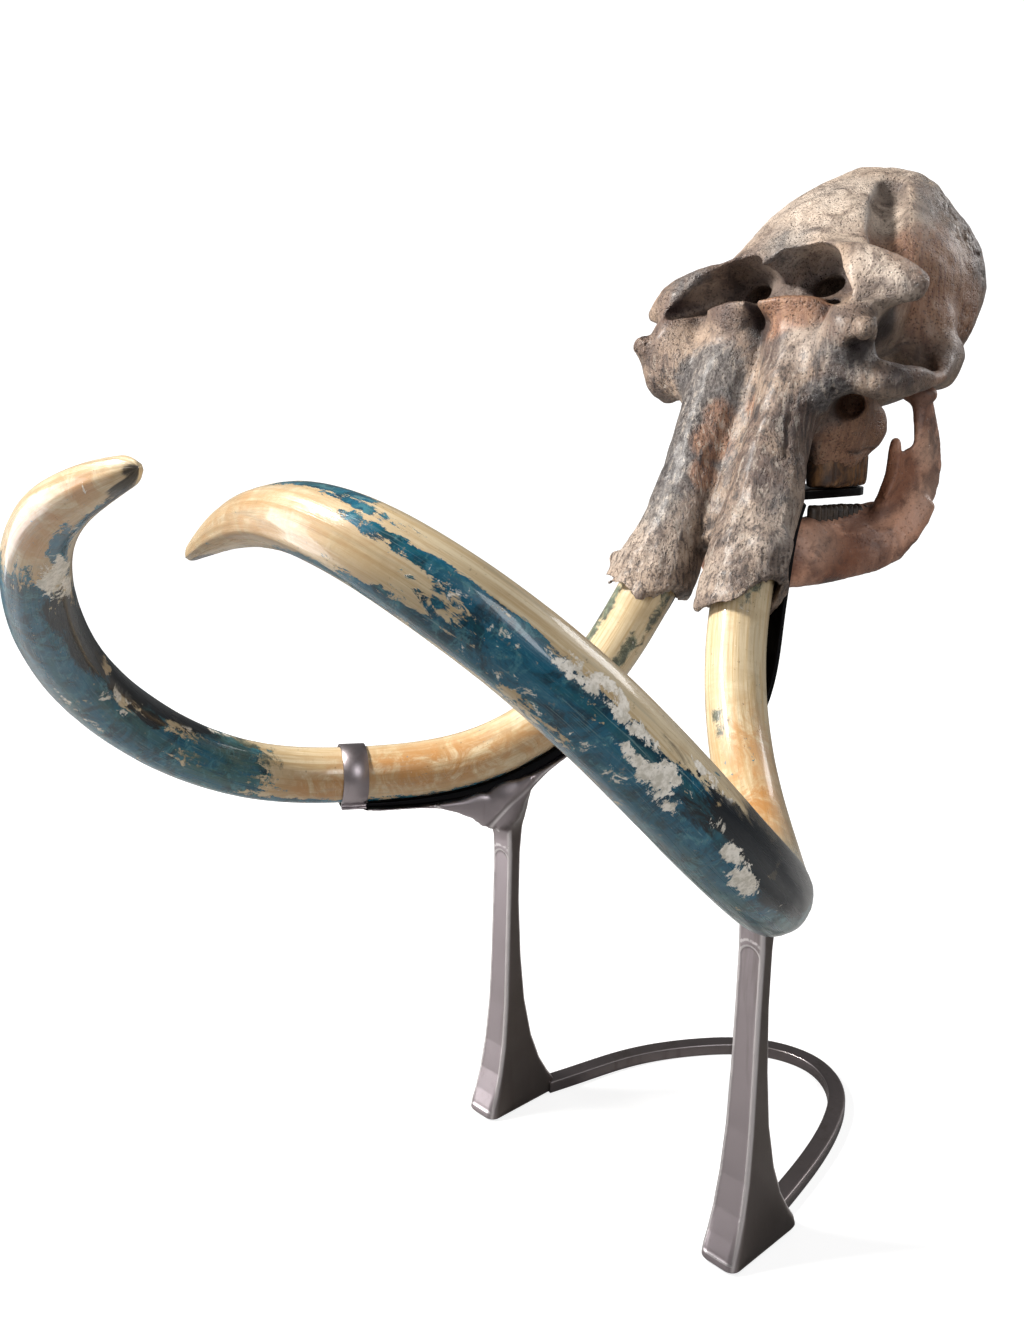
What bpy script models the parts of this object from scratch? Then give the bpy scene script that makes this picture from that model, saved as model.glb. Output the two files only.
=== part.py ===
"""Fossil mammoth skull with its tusks, held on a cast metal stand.

Metres, +Z up. The skull looks along -Y, so its own left is +X. Everything is laid
out from a point on the floor midway between the stand's two feet, and at the end
the whole assembly is moved so that its box stands centred on the origin.
"""

from math import cos, pi, radians, sin

import bmesh
import bpy
import numpy as np
from mathutils import Euler, Matrix, Vector

GAP = 0.0004            # air left between pieces that touch
BONE_VOXEL = 0.012      # size of the cells that melt the bone's masses together
CRANIUM_SHARE = 0.070   # share of the melted mesh that the decimated cranium keeps
MANDIBLE_SHARE = 0.078

TUSK_SIDES = 12
TUSK_RINGS = 32
TUSK_DIAMETER = {"left": 0.128, "right": 0.130}
# The curve of each tusk, from its root in the skull to its tip.
TUSK_ROUTE = {
    "left": [
        (0.100, 0.345, 1.560), (0.105, 0.285, 1.430), (0.130, 0.205, 1.280), (0.250, 0.060, 1.015),
        (0.415, -0.095, 0.905), (0.570, -0.295, 0.930), (0.700, -0.510, 1.030), (0.735, -0.725, 1.200),
        (0.675, -0.910, 1.390), (0.535, -1.025, 1.515), (0.295, -1.015, 1.540), (-0.055, -0.950, 1.455),
    ],
    "right": [
        (-0.100, 0.345, 1.560), (-0.105, 0.285, 1.430), (-0.130, 0.210, 1.290), (-0.245, 0.090, 1.040),
        (-0.380, -0.085, 0.905), (-0.515, -0.290, 0.875), (-0.600, -0.510, 0.905), (-0.595, -0.740, 1.020),
        (-0.495, -0.940, 1.190), (-0.320, -1.075, 1.365), (-0.105, -1.135, 1.520), (0.150, -1.115, 1.600),
    ],
}

LEG_X = 0.355
# Height, half width, front and back of the leg from its sole to under the cradle.
LEG_SECTIONS = [
    (0.000, 0.041, -0.100, 0.118), (0.010, 0.045, -0.107, 0.126), (0.030, 0.044, -0.102, 0.118),
    (0.060, 0.042, -0.090, 0.096), (0.110, 0.039, -0.074, 0.066), (0.180, 0.037, -0.060, 0.040),
    (0.280, 0.034, -0.049, 0.020), (0.400, 0.032, -0.043, 0.009), (0.540, 0.031, -0.038, 0.004),
    (0.660, 0.031, -0.034, 0.006), (0.730, 0.031, -0.036, 0.014), (0.800, 0.032, -0.048, 0.028),
]
PANEL_DEPTH = 0.003     # how far the long panel is sunk into the front of the leg
PANEL_TOP = 0.665
PANEL_ARCH = 0.030

# Share of the tusk's length where the cradle under it starts and ends, and where the leg meets it.
CRADLE_FROM = {"left": 0.365, "right": 0.436}
CRADLE_TO = {"left": 0.215, "right": 0.215}
BAR_WIDTH = 0.046       # the dark bar that lies along the tusk and climbs into the skull
BAR_THICKNESS = (0.006, 0.022, 0.013)   # at the cradle's far end, beside the leg, where it climbs
BAR_CLIMB = [
    (0.192, 0.205, 1.120), (0.155, 0.290, 1.250), (0.134, 0.340, 1.350),
    (0.121, 0.382, 1.440), (0.114, 0.415, 1.486),
]
CLAMP_SHARE = 0.425
CLAMP_WIDTH = 0.056
CLAMP_THICKNESS = 0.004

PALATE_TOP = 1.515 - GAP
PALATE_THICKNESS = 0.022

BOW_ROUTE = [
    (-0.326, 0.090), (-0.306, 0.183), (-0.266, 0.345), (-0.177, 0.518), (-0.045, 0.646),
    (0.080, 0.668), (0.188, 0.603), (0.257, 0.480), (0.314, 0.264), (0.342, 0.090),
]
BOW_WIDTH = 0.042
BOW_HEIGHT = 0.032


def clear_scene():
    for thing in list(bpy.data.objects):
        bpy.data.objects.remove(thing)


def make_material(name, colour, roughness, metallic=0.0):
    material = bpy.data.materials.new(name)
    material.use_nodes = True
    shader = material.node_tree.nodes["Principled BSDF"]
    shader.inputs["Base Color"].default_value = (*colour, 1.0)
    shader.inputs["Roughness"].default_value = roughness
    shader.inputs["Metallic"].default_value = metallic
    return material


def natural_curve(points, count):
    """Points read at even steps along one smooth curve through the given ones."""
    points = np.array(points, float)
    steps = np.linalg.norm(np.diff(points, axis=0), axis=1)
    knots = np.concatenate([[0.0], np.cumsum(steps)])
    size = len(points)
    matrix = np.eye(size)
    bend = np.zeros_like(points)
    for i in range(1, size - 1):
        before, after = steps[i - 1], steps[i]
        matrix[i, i - 1 : i + 2] = before, 2 * (before + after), after
        bend[i] = 6 * ((points[i + 1] - points[i]) / after - (points[i] - points[i - 1]) / before)
    second = np.linalg.solve(matrix, bend)

    def at(place):
        i = int(np.clip(np.searchsorted(knots, place) - 1, 0, size - 2))
        h = steps[i]
        a, b = (knots[i + 1] - place) / h, (place - knots[i]) / h
        pull = ((a**3 - a) * second[i] + (b**3 - b) * second[i + 1]) * h * h / 6
        return a * points[i] + b * points[i + 1] + pull

    fine = np.array([at(place) for place in np.linspace(0, knots[-1], 600)])
    travelled = np.concatenate([[0.0], np.cumsum(np.linalg.norm(np.diff(fine, axis=0), axis=1))])
    wanted = np.linspace(0, travelled[-1], count)
    return [Vector([np.interp(place, travelled, fine[:, axis]) for axis in range(3)]) for place in wanted]


def tangents(path):
    last = len(path) - 1
    return [(path[min(i + 1, last)] - path[max(i - 1, 0)]).normalized() for i in range(last + 1)]


def frames(path, side_hint):
    """Side and lift directions across a path: side stays as near the hint as it can."""
    pairs = []
    for along in tangents(path):
        side = Vector(side_hint)
        side = (side - along * side.dot(along)).normalized()
        pairs.append((side, along.cross(side)))
    return pairs


def add_loft(bm, rings):
    """Close a row of matching rings into one body with flat ends; each quad is split the same way."""
    rows = [[bm.verts.new(point) for point in ring] for ring in rings]
    count = len(rows[0])
    for low, high in zip(rows, rows[1:]):
        for i in range(count):
            j = (i + 1) % count
            bm.faces.new((low[i], low[j], high[j]))
            bm.faces.new((low[i], high[j], high[i]))
    bm.faces.new(list(reversed(rows[0])))
    bm.faces.new(rows[-1])
    return rows


def oval(centre, side, lift, count, squareness=1.0):
    """A ring of points: squareness 1 gives an ellipse, smaller values a fuller corner."""
    ring = []
    for i in range(count):
        turn = 2 * pi * (i + 0.5) / count
        c, s = cos(turn), sin(turn)
        x = abs(c) ** squareness * (1 if c > 0 else -1)
        y = abs(s) ** squareness * (1 if s > 0 else -1)
        ring.append(centre + side * x + lift * y)
    return ring


def add_limb(bm, points, widths, side_hint=(1, 0, 0), steps=14, sides=16):
    """A tapering bone bar: widths holds half width and half depth at each given point."""
    path = natural_curve(points, steps)
    places = np.linspace(0, 1, len(widths))
    rings = []
    for i, (centre, (side, lift)) in enumerate(zip(path, frames(path, side_hint))):
        place = i / (steps - 1)
        half_width = float(np.interp(place, places, [w[0] for w in widths]))
        half_depth = float(np.interp(place, places, [w[1] for w in widths]))
        rings.append(oval(centre, side * half_width, lift * half_depth, sides))
    add_loft(bm, rings)


def add_lump(bm, centre, radii, turn=(0, 0, 0)):
    """An egg-shaped mass; turn is in degrees about X, Y and Z."""
    rotation = Euler([radians(angle) for angle in turn]).to_matrix().to_4x4()
    matrix = Matrix.Translation(centre) @ rotation @ Matrix.Diagonal((*radii, 1))
    bmesh.ops.create_icosphere(bm, subdivisions=3, radius=1, matrix=matrix)


def both_sides(add, bm, points, *rest, **named):
    """Add the same mass on the animal's left and, mirrored, on its right."""
    for sign in (1, -1):
        if isinstance(points[0], tuple):
            placed = [(sign * x, y, z) for x, y, z in points]
        else:
            placed = (sign * points[0], points[1], points[2])
        extra = list(rest)
        if add is add_lump and len(extra) > 1:
            about_x, about_y, about_z = extra[1]
            extra[1] = (about_x, sign * about_y, sign * about_z)
        add(bm, placed, *extra, **named)


def block(centre, side, lift, corner=0.25):
    """A ring of eight points: a rectangle whose corners are cut off."""
    short = 1 - corner
    half = [(1, -short), (1, short), (short, 1), (-short, 1)]
    return [centre + side * x + lift * y for x, y in half + [(-x, -y) for x, y in half]]


def to_object(bm, name, material=None):
    bmesh.ops.recalc_face_normals(bm, faces=bm.faces)
    mesh = bpy.data.meshes.new(name)
    bm.to_mesh(mesh)
    bm.free()
    thing = bpy.data.objects.new(name, mesh)
    bpy.context.collection.objects.link(thing)
    if material:
        mesh.materials.append(material)
        mesh.shade_smooth()
    else:
        thing.hide_render = True
        thing.display_type = "WIRE"
    return thing


def build_lofted(rings, name, material=None):
    bm = bmesh.new()
    add_loft(bm, rings)
    return to_object(bm, name, material)


def melt(thing, voxel, smoothing):
    remesh = thing.modifiers.new("melt", "REMESH")
    remesh.mode = "VOXEL"
    remesh.voxel_size = voxel
    remesh.use_smooth_shade = True
    smooth = thing.modifiers.new("soften", "SMOOTH")
    smooth.factor = 0.5
    smooth.iterations = smoothing


def cut(thing, cutter):
    boolean = thing.modifiers.new("cut " + cutter.name, "BOOLEAN")
    boolean.operation = "DIFFERENCE"
    boolean.object = cutter


def thin_out(thing, share):
    decimate = thing.modifiers.new("fewer faces", "DECIMATE")
    decimate.ratio = share
    decimate.use_collapse_triangulate = True


# ---- tusks

def tusk_radius(side, place):
    """Radius from root (place 0) to tip (1): a slimmer root, nearly even, then a quick taper."""
    shape = {"left": 1 - 0.10 * place**2 - 0.76 * place**7, "right": 1 - 0.10 * place**2 - 0.62 * place**11}
    root = 0.22 * max(0.0, 1 - place / 0.12) ** 2
    return TUSK_DIAMETER[side] / 2 * (shape[side] - root)


def tusk_rings(side, spare=0.0, share=1.0):
    path = natural_curve(TUSK_ROUTE[side], TUSK_RINGS)
    rings = []
    across = Vector((1, 0, 0))
    for i, (centre, along) in enumerate(zip(path, tangents(path))):
        across = (across - along * across.dot(along)).normalized()
        lift = along.cross(across)
        place = i / (TUSK_RINGS - 1)
        radius = tusk_radius(side, place) + spare
        if i == 0:
            centre = centre - along * spare
        rings.append(oval(centre, across * radius, lift * radius, TUSK_SIDES))
        if place >= share:
            break
    return rings


# ---- cranium

def add_cranium_masses(bm):
    add_lump(bm, (0, 0.765, 1.965), (0.280, 0.245, 0.225), (18, 0, 0))      # braincase
    add_lump(bm, (0, 0.880, 2.095), (0.170, 0.145, 0.160))                  # crown
    both_sides(add_lump, bm, (0.100, 0.825, 2.118), (0.092, 0.128, 0.092))  # shoulders of the crown
    both_sides(add_lump, bm, (0.135, 0.865, 1.965), (0.145, 0.145, 0.195))  # rear lobes
    both_sides(add_lump, bm, (0.208, 0.825, 1.890), (0.062, 0.070, 0.072))  # lobe above the jaw hinge
    add_limb(bm, [(0, 0.465, 1.960), (0, 0.60, 2.040), (0, 0.84, 2.150)],
             [(0.225, 0.052), (0.205, 0.100), (0.190, 0.112)])              # forehead
    both_sides(add_limb, bm, [(0.10, 0.485, 1.985), (0.20, 0.465, 1.972),
                              (0.285, 0.462, 1.948), (0.345, 0.482, 1.918)],
               [(0.055, 0.058), (0.058, 0.058), (0.052, 0.054), (0.030, 0.036)],
               side_hint=(0, 1, 0))                                         # brow
    both_sides(add_limb, bm, [(0.232, 0.460, 1.945), (0.228, 0.425, 1.865),
                              (0.205, 0.420, 1.785), (0.170, 0.430, 1.720)],
               [(0.045, 0.065), (0.055, 0.075), (0.078, 0.080), (0.060, 0.065)])            # cheek
    both_sides(add_limb, bm, [(0.085, 0.470, 1.875), (0.096, 0.410, 1.740), (0.100, 0.337, 1.560),
                              (0.108, 0.276, 1.420), (0.121, 0.233, 1.340), (0.138, 0.204, 1.292)],
               [(0.096, 0.070), (0.078, 0.074), (0.066, 0.076),
                (0.077, 0.083), (0.088, 0.088), (0.110, 0.096)])            # sheath around the tusk
    both_sides(add_lump, bm, (0.110, 0.135, 1.282), (0.055, 0.022, 0.030), (15, 0, 0))    # tongue of the sheath
    both_sides(add_lump, bm, (0.285, 0.365, 1.838), (0.035, 0.026, 0.024), (0, 20, 0))    # knob by the eye
    add_limb(bm, [(0, 0.50, 1.86), (0, 0.43, 1.60), (0, 0.31, 1.42)],
             [(0.10, 0.04), (0.08, 0.05), (0.08, 0.035)])                   # bone between the sheaths
    both_sides(add_lump, bm, (0.100, 0.600, 1.850), (0.125, 0.110, 0.060))  # floor of the nose
    both_sides(add_lump, bm, (0.200, 0.560, 1.915), (0.060, 0.090, 0.080))  # wall between nose and temple
    both_sides(add_limb, bm, [(0.12, 0.50, 1.78), (0.12, 0.55, 1.66), (0.118, 0.58, 1.575)],
               [(0.080, 0.105), (0.075, 0.120), (0.058, 0.112)])            # tooth-bearing bone
    both_sides(add_limb, bm, [(0.215, 0.42, 1.760), (0.295, 0.455, 1.745), (0.325, 0.545, 1.755),
                              (0.300, 0.660, 1.778), (0.255, 0.735, 1.800)],
               [(0.046, 0.050), (0.036, 0.046), (0.024, 0.036), (0.030, 0.034), (0.05, 0.048)])   # cheek arch
    both_sides(add_lump, bm, (0.240, 0.735, 1.806), (0.074, 0.066, 0.050))  # jaw hinge block
    both_sides(add_lump, bm, (0.220, 0.730, 1.860), (0.070, 0.080, 0.080))  # wall above the hinge
    add_lump(bm, (0, 0.80, 1.80), (0.20, 0.19, 0.11))                       # skull base
    both_sides(add_lump, bm, (0.055, 0.985, 1.80), (0.045, 0.06, 0.055))    # neck joint knobs
    both_sides(add_limb, bm, [(0.10, 0.76, 1.76), (0.09, 0.69, 1.66), (0.09, 0.63, 1.58)],
               [(0.05, 0.05), (0.03, 0.05), (0.035, 0.05)])                 # wing behind the teeth


def add_cranium_hollows(bm):
    both_sides(add_limb, bm, [(0.028, 0.425, 1.958), (0.095, 0.430, 1.975),
                              (0.165, 0.420, 1.950), (0.218, 0.380, 1.915)],
               [(0.105, 0.045), (0.125, 0.070), (0.080, 0.055), (0.050, 0.030)],
               side_hint=(0, 1, 0))                                         # nose
    both_sides(add_lump, bm, (0.095, 0.565, 1.945), (0.042, 0.06, 0.032))   # passage behind the nose
    both_sides(add_lump, bm, (0.338, 0.492, 1.838), (0.092, 0.080, 0.062), (0, 12, 0))    # eye socket
    both_sides(add_lump, bm, (0.345, 0.590, 1.860), (0.106, 0.098, 0.098))                # temple
    both_sides(add_limb, bm, [(0.085, 0.735, 2.185), (0.150, 0.640, 2.110), (0.198, 0.570, 2.030)],
               [(0.014, 0.026), (0.036, 0.036), (0.026, 0.030)],
               side_hint=(0.75, 0.66, 0))                                   # dip behind the brow
    both_sides(add_lump, bm, (0.262, 0.590, 1.750), (0.050, 0.085, 0.10))                 # inside the arch
    both_sides(add_limb, bm, [(0.262, 0.340, 1.678), (0.205, 0.450, 1.686), (0.155, 0.560, 1.700)],
               [(0.034, 0.030), (0.030, 0.027), (0.026, 0.026)])            # hole below the eye
    both_sides(add_limb, bm, [(0.152, 0.165, 1.20), (0.127, 0.216, 1.31), (0.106, 0.280, 1.41)],
               [(0.096, 0.082), (0.074, 0.070), (0.044, 0.044)])            # tusk socket
    add_limb(bm, [(0, 0.17, 1.30), (0, 0.22, 1.50), (0, 0.33, 1.72), (0, 0.35, 1.83)],
             [(0.015, 0.03), (0.035, 0.05), (0.030, 0.045), (0.01, 0.02)])  # groove between the sheaths
    add_limb(bm, [(0, 1.15, 1.81), (0, 0.95, 1.815), (0, 0.85, 1.83)],
             [(0.045, 0.04), (0.038, 0.036), (0.02, 0.02)])                 # hole for the spinal cord
    add_limb(bm, [(0, 0.84, 1.66), (0, 0.72, 1.72), (0, 0.62, 1.78)],
             [(0.06, 0.07), (0.05, 0.06), (0.03, 0.03)])                    # throat


def build_cranium(material, fits):
    masses = bmesh.new()
    add_cranium_masses(masses)
    cranium = to_object(masses, "cranium", material)
    melt(cranium, BONE_VOXEL, 6)
    hollows = bmesh.new()
    add_cranium_hollows(hollows)
    cutter = to_object(hollows, "cranium_hollows")
    melt(cutter, BONE_VOXEL, 3)
    cut(cranium, cutter)
    melt(cranium, BONE_VOXEL, 2)
    thin_out(cranium, CRANIUM_SHARE)
    for fit in fits:
        cut(cranium, fit)
    return cranium


# ---- lower jaw

def add_mandible_masses(bm):
    both_sides(add_limb, bm, [(-0.04, 0.415, 1.360), (0.09, 0.430, 1.374), (0.145, 0.540, 1.393),
                              (0.205, 0.650, 1.425), (0.243, 0.705, 1.490)],
               [(0.045, 0.066), (0.045, 0.084), (0.046, 0.088), (0.040, 0.086), (0.022, 0.052)],
               side_hint=(0, 1, 0))                                         # body of the jaw
    both_sides(add_limb, bm, [(0.215, 0.655, 1.440), (0.250, 0.705, 1.530),
                              (0.262, 0.700, 1.620), (0.256, 0.678, 1.705)],
               [(0.028, 0.085), (0.022, 0.088), (0.018, 0.066), (0.022, 0.030)])            # upright branch
    both_sides(add_lump, bm, (0.250, 0.670, 1.722), (0.046, 0.028, 0.026), (0, 10, 0))    # hinge knob
    both_sides(add_limb, bm, [(0.205, 0.620, 1.450), (0.232, 0.622, 1.545), (0.240, 0.607, 1.618)],
               [(0.028, 0.035), (0.020, 0.030), (0.014, 0.016)])            # spur in front of the branch


def build_mandible(material, fits):
    masses = bmesh.new()
    add_mandible_masses(masses)
    mandible = to_object(masses, "mandible", material)
    melt(mandible, BONE_VOXEL, 4)
    thin_out(mandible, MANDIBLE_SHARE)
    for fit in fits:
        cut(mandible, fit)
    return mandible


def molar_rings(sign, jaw, spare=0.0):
    """One cheek tooth: a block with rounded ends that stands out of its bone."""
    route, (bottom, top), half_width = {
        "upper": ([(0.120, 0.472), (0.118, 0.57), (0.120, 0.668)], (1.515, 1.600), 0.046),
        "lower": ([(0.112, 0.470), (0.135, 0.56), (0.165, 0.650)], (1.400, 1.480), 0.032),
    }[jaw]
    path = natural_curve([(sign * x, y, (bottom + top) / 2) for x, y in route], 6)
    path[0].y -= spare
    path[-1].y += spare
    lift = Vector((0, 0, (top - bottom) / 2 + spare))
    rings = []
    for centre, share, (side, _) in zip(path, (0.66, 0.96, 1, 1, 0.96, 0.64), frames(path, (1, 0, 0))):
        rings.append(oval(centre, side * (half_width * share + spare), lift, 10, 0.5))
    return rings


# ---- stand

def under_tusk(side, share, depth):
    """A point below the tusk's axis, with the directions along the tusk and away from it."""
    path = natural_curve(TUSK_ROUTE[side], 200)
    i = int(round(share * 199))
    along = tangents(path)[i]
    down = Vector((0, 0, -1))
    down = (down - along * down.dot(along)).normalized()
    return path[i] + down * depth, along, down


def slab(path, downs, widths, depths, corner=0.15):
    """Rings of a bar whose top face runs along the path and whose depth hangs below it."""
    rings = []
    for centre, down, along, width, depth in zip(path, downs, tangents(path), widths, depths):
        side = along.cross(down).normalized()
        rings.append(block(centre + down * depth / 2, side * width / 2, down * depth / 2, corner))
    return rings


def bar_depth(side, share):
    """Thickness of the dark bar under the tusk: a thin tongue that grows towards the leg."""
    grown = (CRADLE_FROM[side] - share) / (CRADLE_FROM[side] - CRADLE_TO[side])
    return BAR_THICKNESS[0] + (BAR_THICKNESS[1] - BAR_THICKNESS[0]) * min(1.0, 1.6 * grown)


def bar_rings(side, spare=0.0):
    """The dark bar: from the clamp, under the tusk, then straight up into the skull's palate."""
    sign = 1 if side == "left" else -1
    path, downs, depths = [], [], []
    for share in np.linspace(CRADLE_FROM[side], CRADLE_TO[side], 9):
        radius = tusk_radius(side, share) + GAP
        point, along, down = under_tusk(side, share, radius)
        path.append(point)
        downs.append(down)
        depths.append(bar_depth(side, share))
    route = natural_curve([path[-1]] + [(sign * x, y, z) for x, y, z in BAR_CLIMB], 8)
    for point, along in zip(route[1:], tangents(route)[1:]):
        away = Vector((0, 1, 0))
        path.append(point)
        downs.append((away - along * away.dot(along)).normalized())
        depths.append(BAR_THICKNESS[2])
    lifted = [point - down * spare for point, down in zip(path, downs)]
    widths = [BAR_WIDTH + 2 * spare] * len(path)
    return slab(lifted, downs, widths, [depth + 2 * spare for depth in depths])


def bracket_rings(side, spare=0.0):
    """The flared top of the leg: a deep web over the leg that thins out both ways along the tusk."""
    path, downs, widths, depths = [], [], [], []
    start, end = CRADLE_FROM[side] + 0.012, CRADLE_TO[side] + 0.02
    for share in np.linspace(start, end, 16):
        radius = tusk_radius(side, share) + bar_depth(side, share) + 2.5 * GAP
        point, along, down = under_tusk(side, share, radius)
        reach = abs(abs(point.x) - LEG_X - 0.01)
        path.append(point - down * spare)
        downs.append(down)
        web = max(0.0, 1 - reach / 0.105)
        widths.append(0.076 - 0.012 * web + 2 * spare)
        depths.append(0.007 + 0.088 * web**2.2 + 2 * spare)
    return slab(path, downs, widths, depths)


def leg_rings(sign, sections, spare=0.0):
    """Rings of the leg at the given sections, from the sole upwards."""
    rings = []
    for z, half_width, front, back in sections:
        centre = Vector((sign * LEG_X, (front + back) / 2, z))
        reach = Vector((0, (back - front) / 2 + spare, 0))
        rings.append(block(centre, Vector((half_width + spare, 0, 0)), reach))
    return rings


def panel_rings(sign):
    """The shallow panel cut into the front of the leg, with a round top as high as PANEL_ARCH."""
    table = np.array(LEG_SECTIONS)
    spring = PANEL_TOP - PANEL_ARCH
    rings = []
    for z in [0.02, 0.06, 0.11, 0.18, 0.28, 0.40, 0.54, 0.60] + [
            spring + PANEL_ARCH * sin(radians(angle)) for angle in (20, 45, 65, 82)]:
        half_width = np.interp(z, table[:, 0], table[:, 1]) - 0.006
        front = np.interp(z, table[:, 0], table[:, 2])
        over = max(0.0, z - spring) / PANEL_ARCH
        side = Vector((half_width * (1 - over**2) ** 0.5, 0, 0))
        floor, air = (Vector((sign * LEG_X, front + y, z)) for y in (PANEL_DEPTH, -0.02))
        rings.append([floor - side, floor + side, air + side, air - side])
    return rings


def build_leg(side, sign, material):
    leg = build_lofted(leg_rings(sign, LEG_SECTIONS), "leg_" + side, material)
    join = leg.modifiers.new("join bracket", "BOOLEAN")
    join.operation = "UNION"
    join.object = build_lofted(bracket_rings(side), "bracket_" + side)
    cut(leg, build_lofted(panel_rings(sign), "panel_" + side))
    return leg


def build_clamp(material):
    """The band over the right tusk: a strap bent round it, with a foot on either side of the bar."""
    radius = tusk_radius("right", CLAMP_SHARE) + 4 * GAP
    centre, along, down = under_tusk("right", CLAMP_SHARE, 0.0)
    across = along.cross(down).normalized()
    foot = radius + bar_depth("right", CLAMP_SHARE)
    half_arc = radians(154)
    ankle = radius * sin(half_arc)
    outer = [(ankle + 0.008, foot), (ankle + 0.008, foot - CLAMP_THICKNESS),
             (ankle + CLAMP_THICKNESS, foot - CLAMP_THICKNESS)]
    strap_inner, strap_outer = [], []
    for step in range(17):
        turn = half_arc * (1 - step / 8)
        strap_inner.append((radius * sin(turn), -radius * cos(turn)))
        strap_outer.append(((radius + CLAMP_THICKNESS) * sin(turn), -(radius + CLAMP_THICKNESS) * cos(turn)))
    profile = [(ankle, foot)] + strap_inner + [(-ankle, foot)]
    profile += [(-x, y) for x, y in outer] + list(reversed(strap_outer)) + list(reversed(outer))
    rings = []
    for shift in (-0.5, 0.5):
        middle = centre + along * shift * CLAMP_WIDTH
        rings.append([middle + across * x + down * y for x, y in profile])
    return build_lofted(rings, "clamp", material)


def plate_rings(spare=0.0):
    sections = [(0.398, 0.140), (0.412, 0.144), (0.540, 0.144), (0.640, 0.142), (0.672, 0.130)]
    rings = []
    lift = Vector((0, 0, PALATE_THICKNESS / 2 + spare))
    for i, (y, half) in enumerate(sections):
        y += spare * (i == len(sections) - 1) - spare * (i == 0)
        centre = Vector((0, y, PALATE_TOP - PALATE_THICKNESS / 2))
        rings.append(block(centre, Vector((half + spare, 0, 0)), lift, 0.1))
    return rings


def strut_rings(spare=0.0):
    half = 0.014 + spare
    foot = Vector((0, 0.455, 1.395 - spare))
    top = Vector((0, 0.500, PALATE_TOP - PALATE_THICKNESS - GAP + spare))
    return [oval(point, Vector((half, 0, 0)), Vector((0, half, 0)), 8, 0.4) for point in (foot, top)]


def build_bow(material, rooms):
    path = natural_curve([(x, y, BOW_HEIGHT / 2) for x, y in BOW_ROUTE], 22)
    up = Vector((0, 0, BOW_HEIGHT / 2))
    rings = []
    for centre, along in zip(path, tangents(path)):
        rings.append(block(centre, along.cross(up).normalized() * BOW_WIDTH / 2, up))
    bow = build_lofted(rings, "floor_bow", material)
    for room in rooms:
        cut(bow, room)
    return bow


def room_for_foot(side, sign):
    """Space for the foot in the floor bow; it starts a little below the floor so the cut runs through."""
    sections = [(-0.01, *LEG_SECTIONS[0][1:])] + LEG_SECTIONS[1:5]
    return build_lofted(leg_rings(sign, sections, GAP), "room_for_foot_" + side)


def stand_on_origin():
    """Move everything so that the assembly's box is centred on the origin and rests on the floor."""
    graph = bpy.context.evaluated_depsgraph_get()
    corners = []
    for thing in bpy.data.objects:
        if not thing.hide_render:
            corners += [vertex.co for vertex in thing.evaluated_get(graph).data.vertices]
    low = Vector([min(corner[axis] for corner in corners) for axis in range(3)])
    high = Vector([max(corner[axis] for corner in corners) for axis in range(3)])
    for thing in bpy.data.objects:
        thing.location = (-(low.x + high.x) / 2, -(low.y + high.y) / 2, -low.z)


def main():
    clear_scene()
    bone = make_material("bone", (0.36, 0.29, 0.23), 0.7)
    jaw_bone = make_material("jaw bone", (0.25, 0.14, 0.09), 0.45)
    ivory = make_material("ivory", (0.45, 0.42, 0.34), 0.2)
    enamel = make_material("enamel", (0.30, 0.16, 0.07), 0.5)
    bronze = make_material("stand metal", (0.20, 0.17, 0.16), 0.35, 1.0)
    dark_steel = make_material("dark steel", (0.03, 0.03, 0.035), 0.35, 1.0)

    bar_rooms, tusk_rooms, foot_rooms = [], [], []
    for side, sign in (("left", 1), ("right", -1)):
        build_lofted(tusk_rings(side), "tusk_" + side, ivory)
        tusk_rooms.append(build_lofted(tusk_rings(side, 3 * GAP, 0.5), "room_for_tusk_" + side))
        cut(build_lofted(bar_rings(side), "bar_" + side, dark_steel), tusk_rooms[-1])
        bar_rooms.append(build_lofted(bar_rings(side, GAP), "room_for_bar_" + side))
        cut(build_leg(side, sign, bronze), bar_rooms[-1])
        foot_rooms.append(room_for_foot(side, sign))

    build_lofted(plate_rings(), "palate_plate", dark_steel)
    build_lofted(strut_rings(), "jaw_strut", dark_steel)
    skull_rooms = tusk_rooms + bar_rooms + [build_lofted(plate_rings(GAP), "room_for_palate_plate")]
    jaw_rooms = bar_rooms + [build_lofted(strut_rings(GAP), "room_for_strut")]
    for side, sign in (("left", 1), ("right", -1)):
        for jaw, rooms in (("upper", skull_rooms), ("lower", jaw_rooms)):
            build_lofted(molar_rings(sign, jaw), f"{jaw}_molar_{side}", enamel)
            rooms.append(build_lofted(molar_rings(sign, jaw, GAP), f"room_for_{jaw}_molar_{side}"))

    build_cranium(bone, skull_rooms)
    build_mandible(jaw_bone, jaw_rooms)
    build_bow(bronze, foot_rooms)
    clamp = build_clamp(bronze)
    cut(clamp, build_lofted(bracket_rings("right", GAP), "room_for_bracket"))
    cut(clamp, tusk_rooms[1])
    stand_on_origin()


main()
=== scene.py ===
from math import cos, pi, radians, sin

import bpy
import numpy as np
from mathutils import Euler, Matrix, Vector


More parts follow.
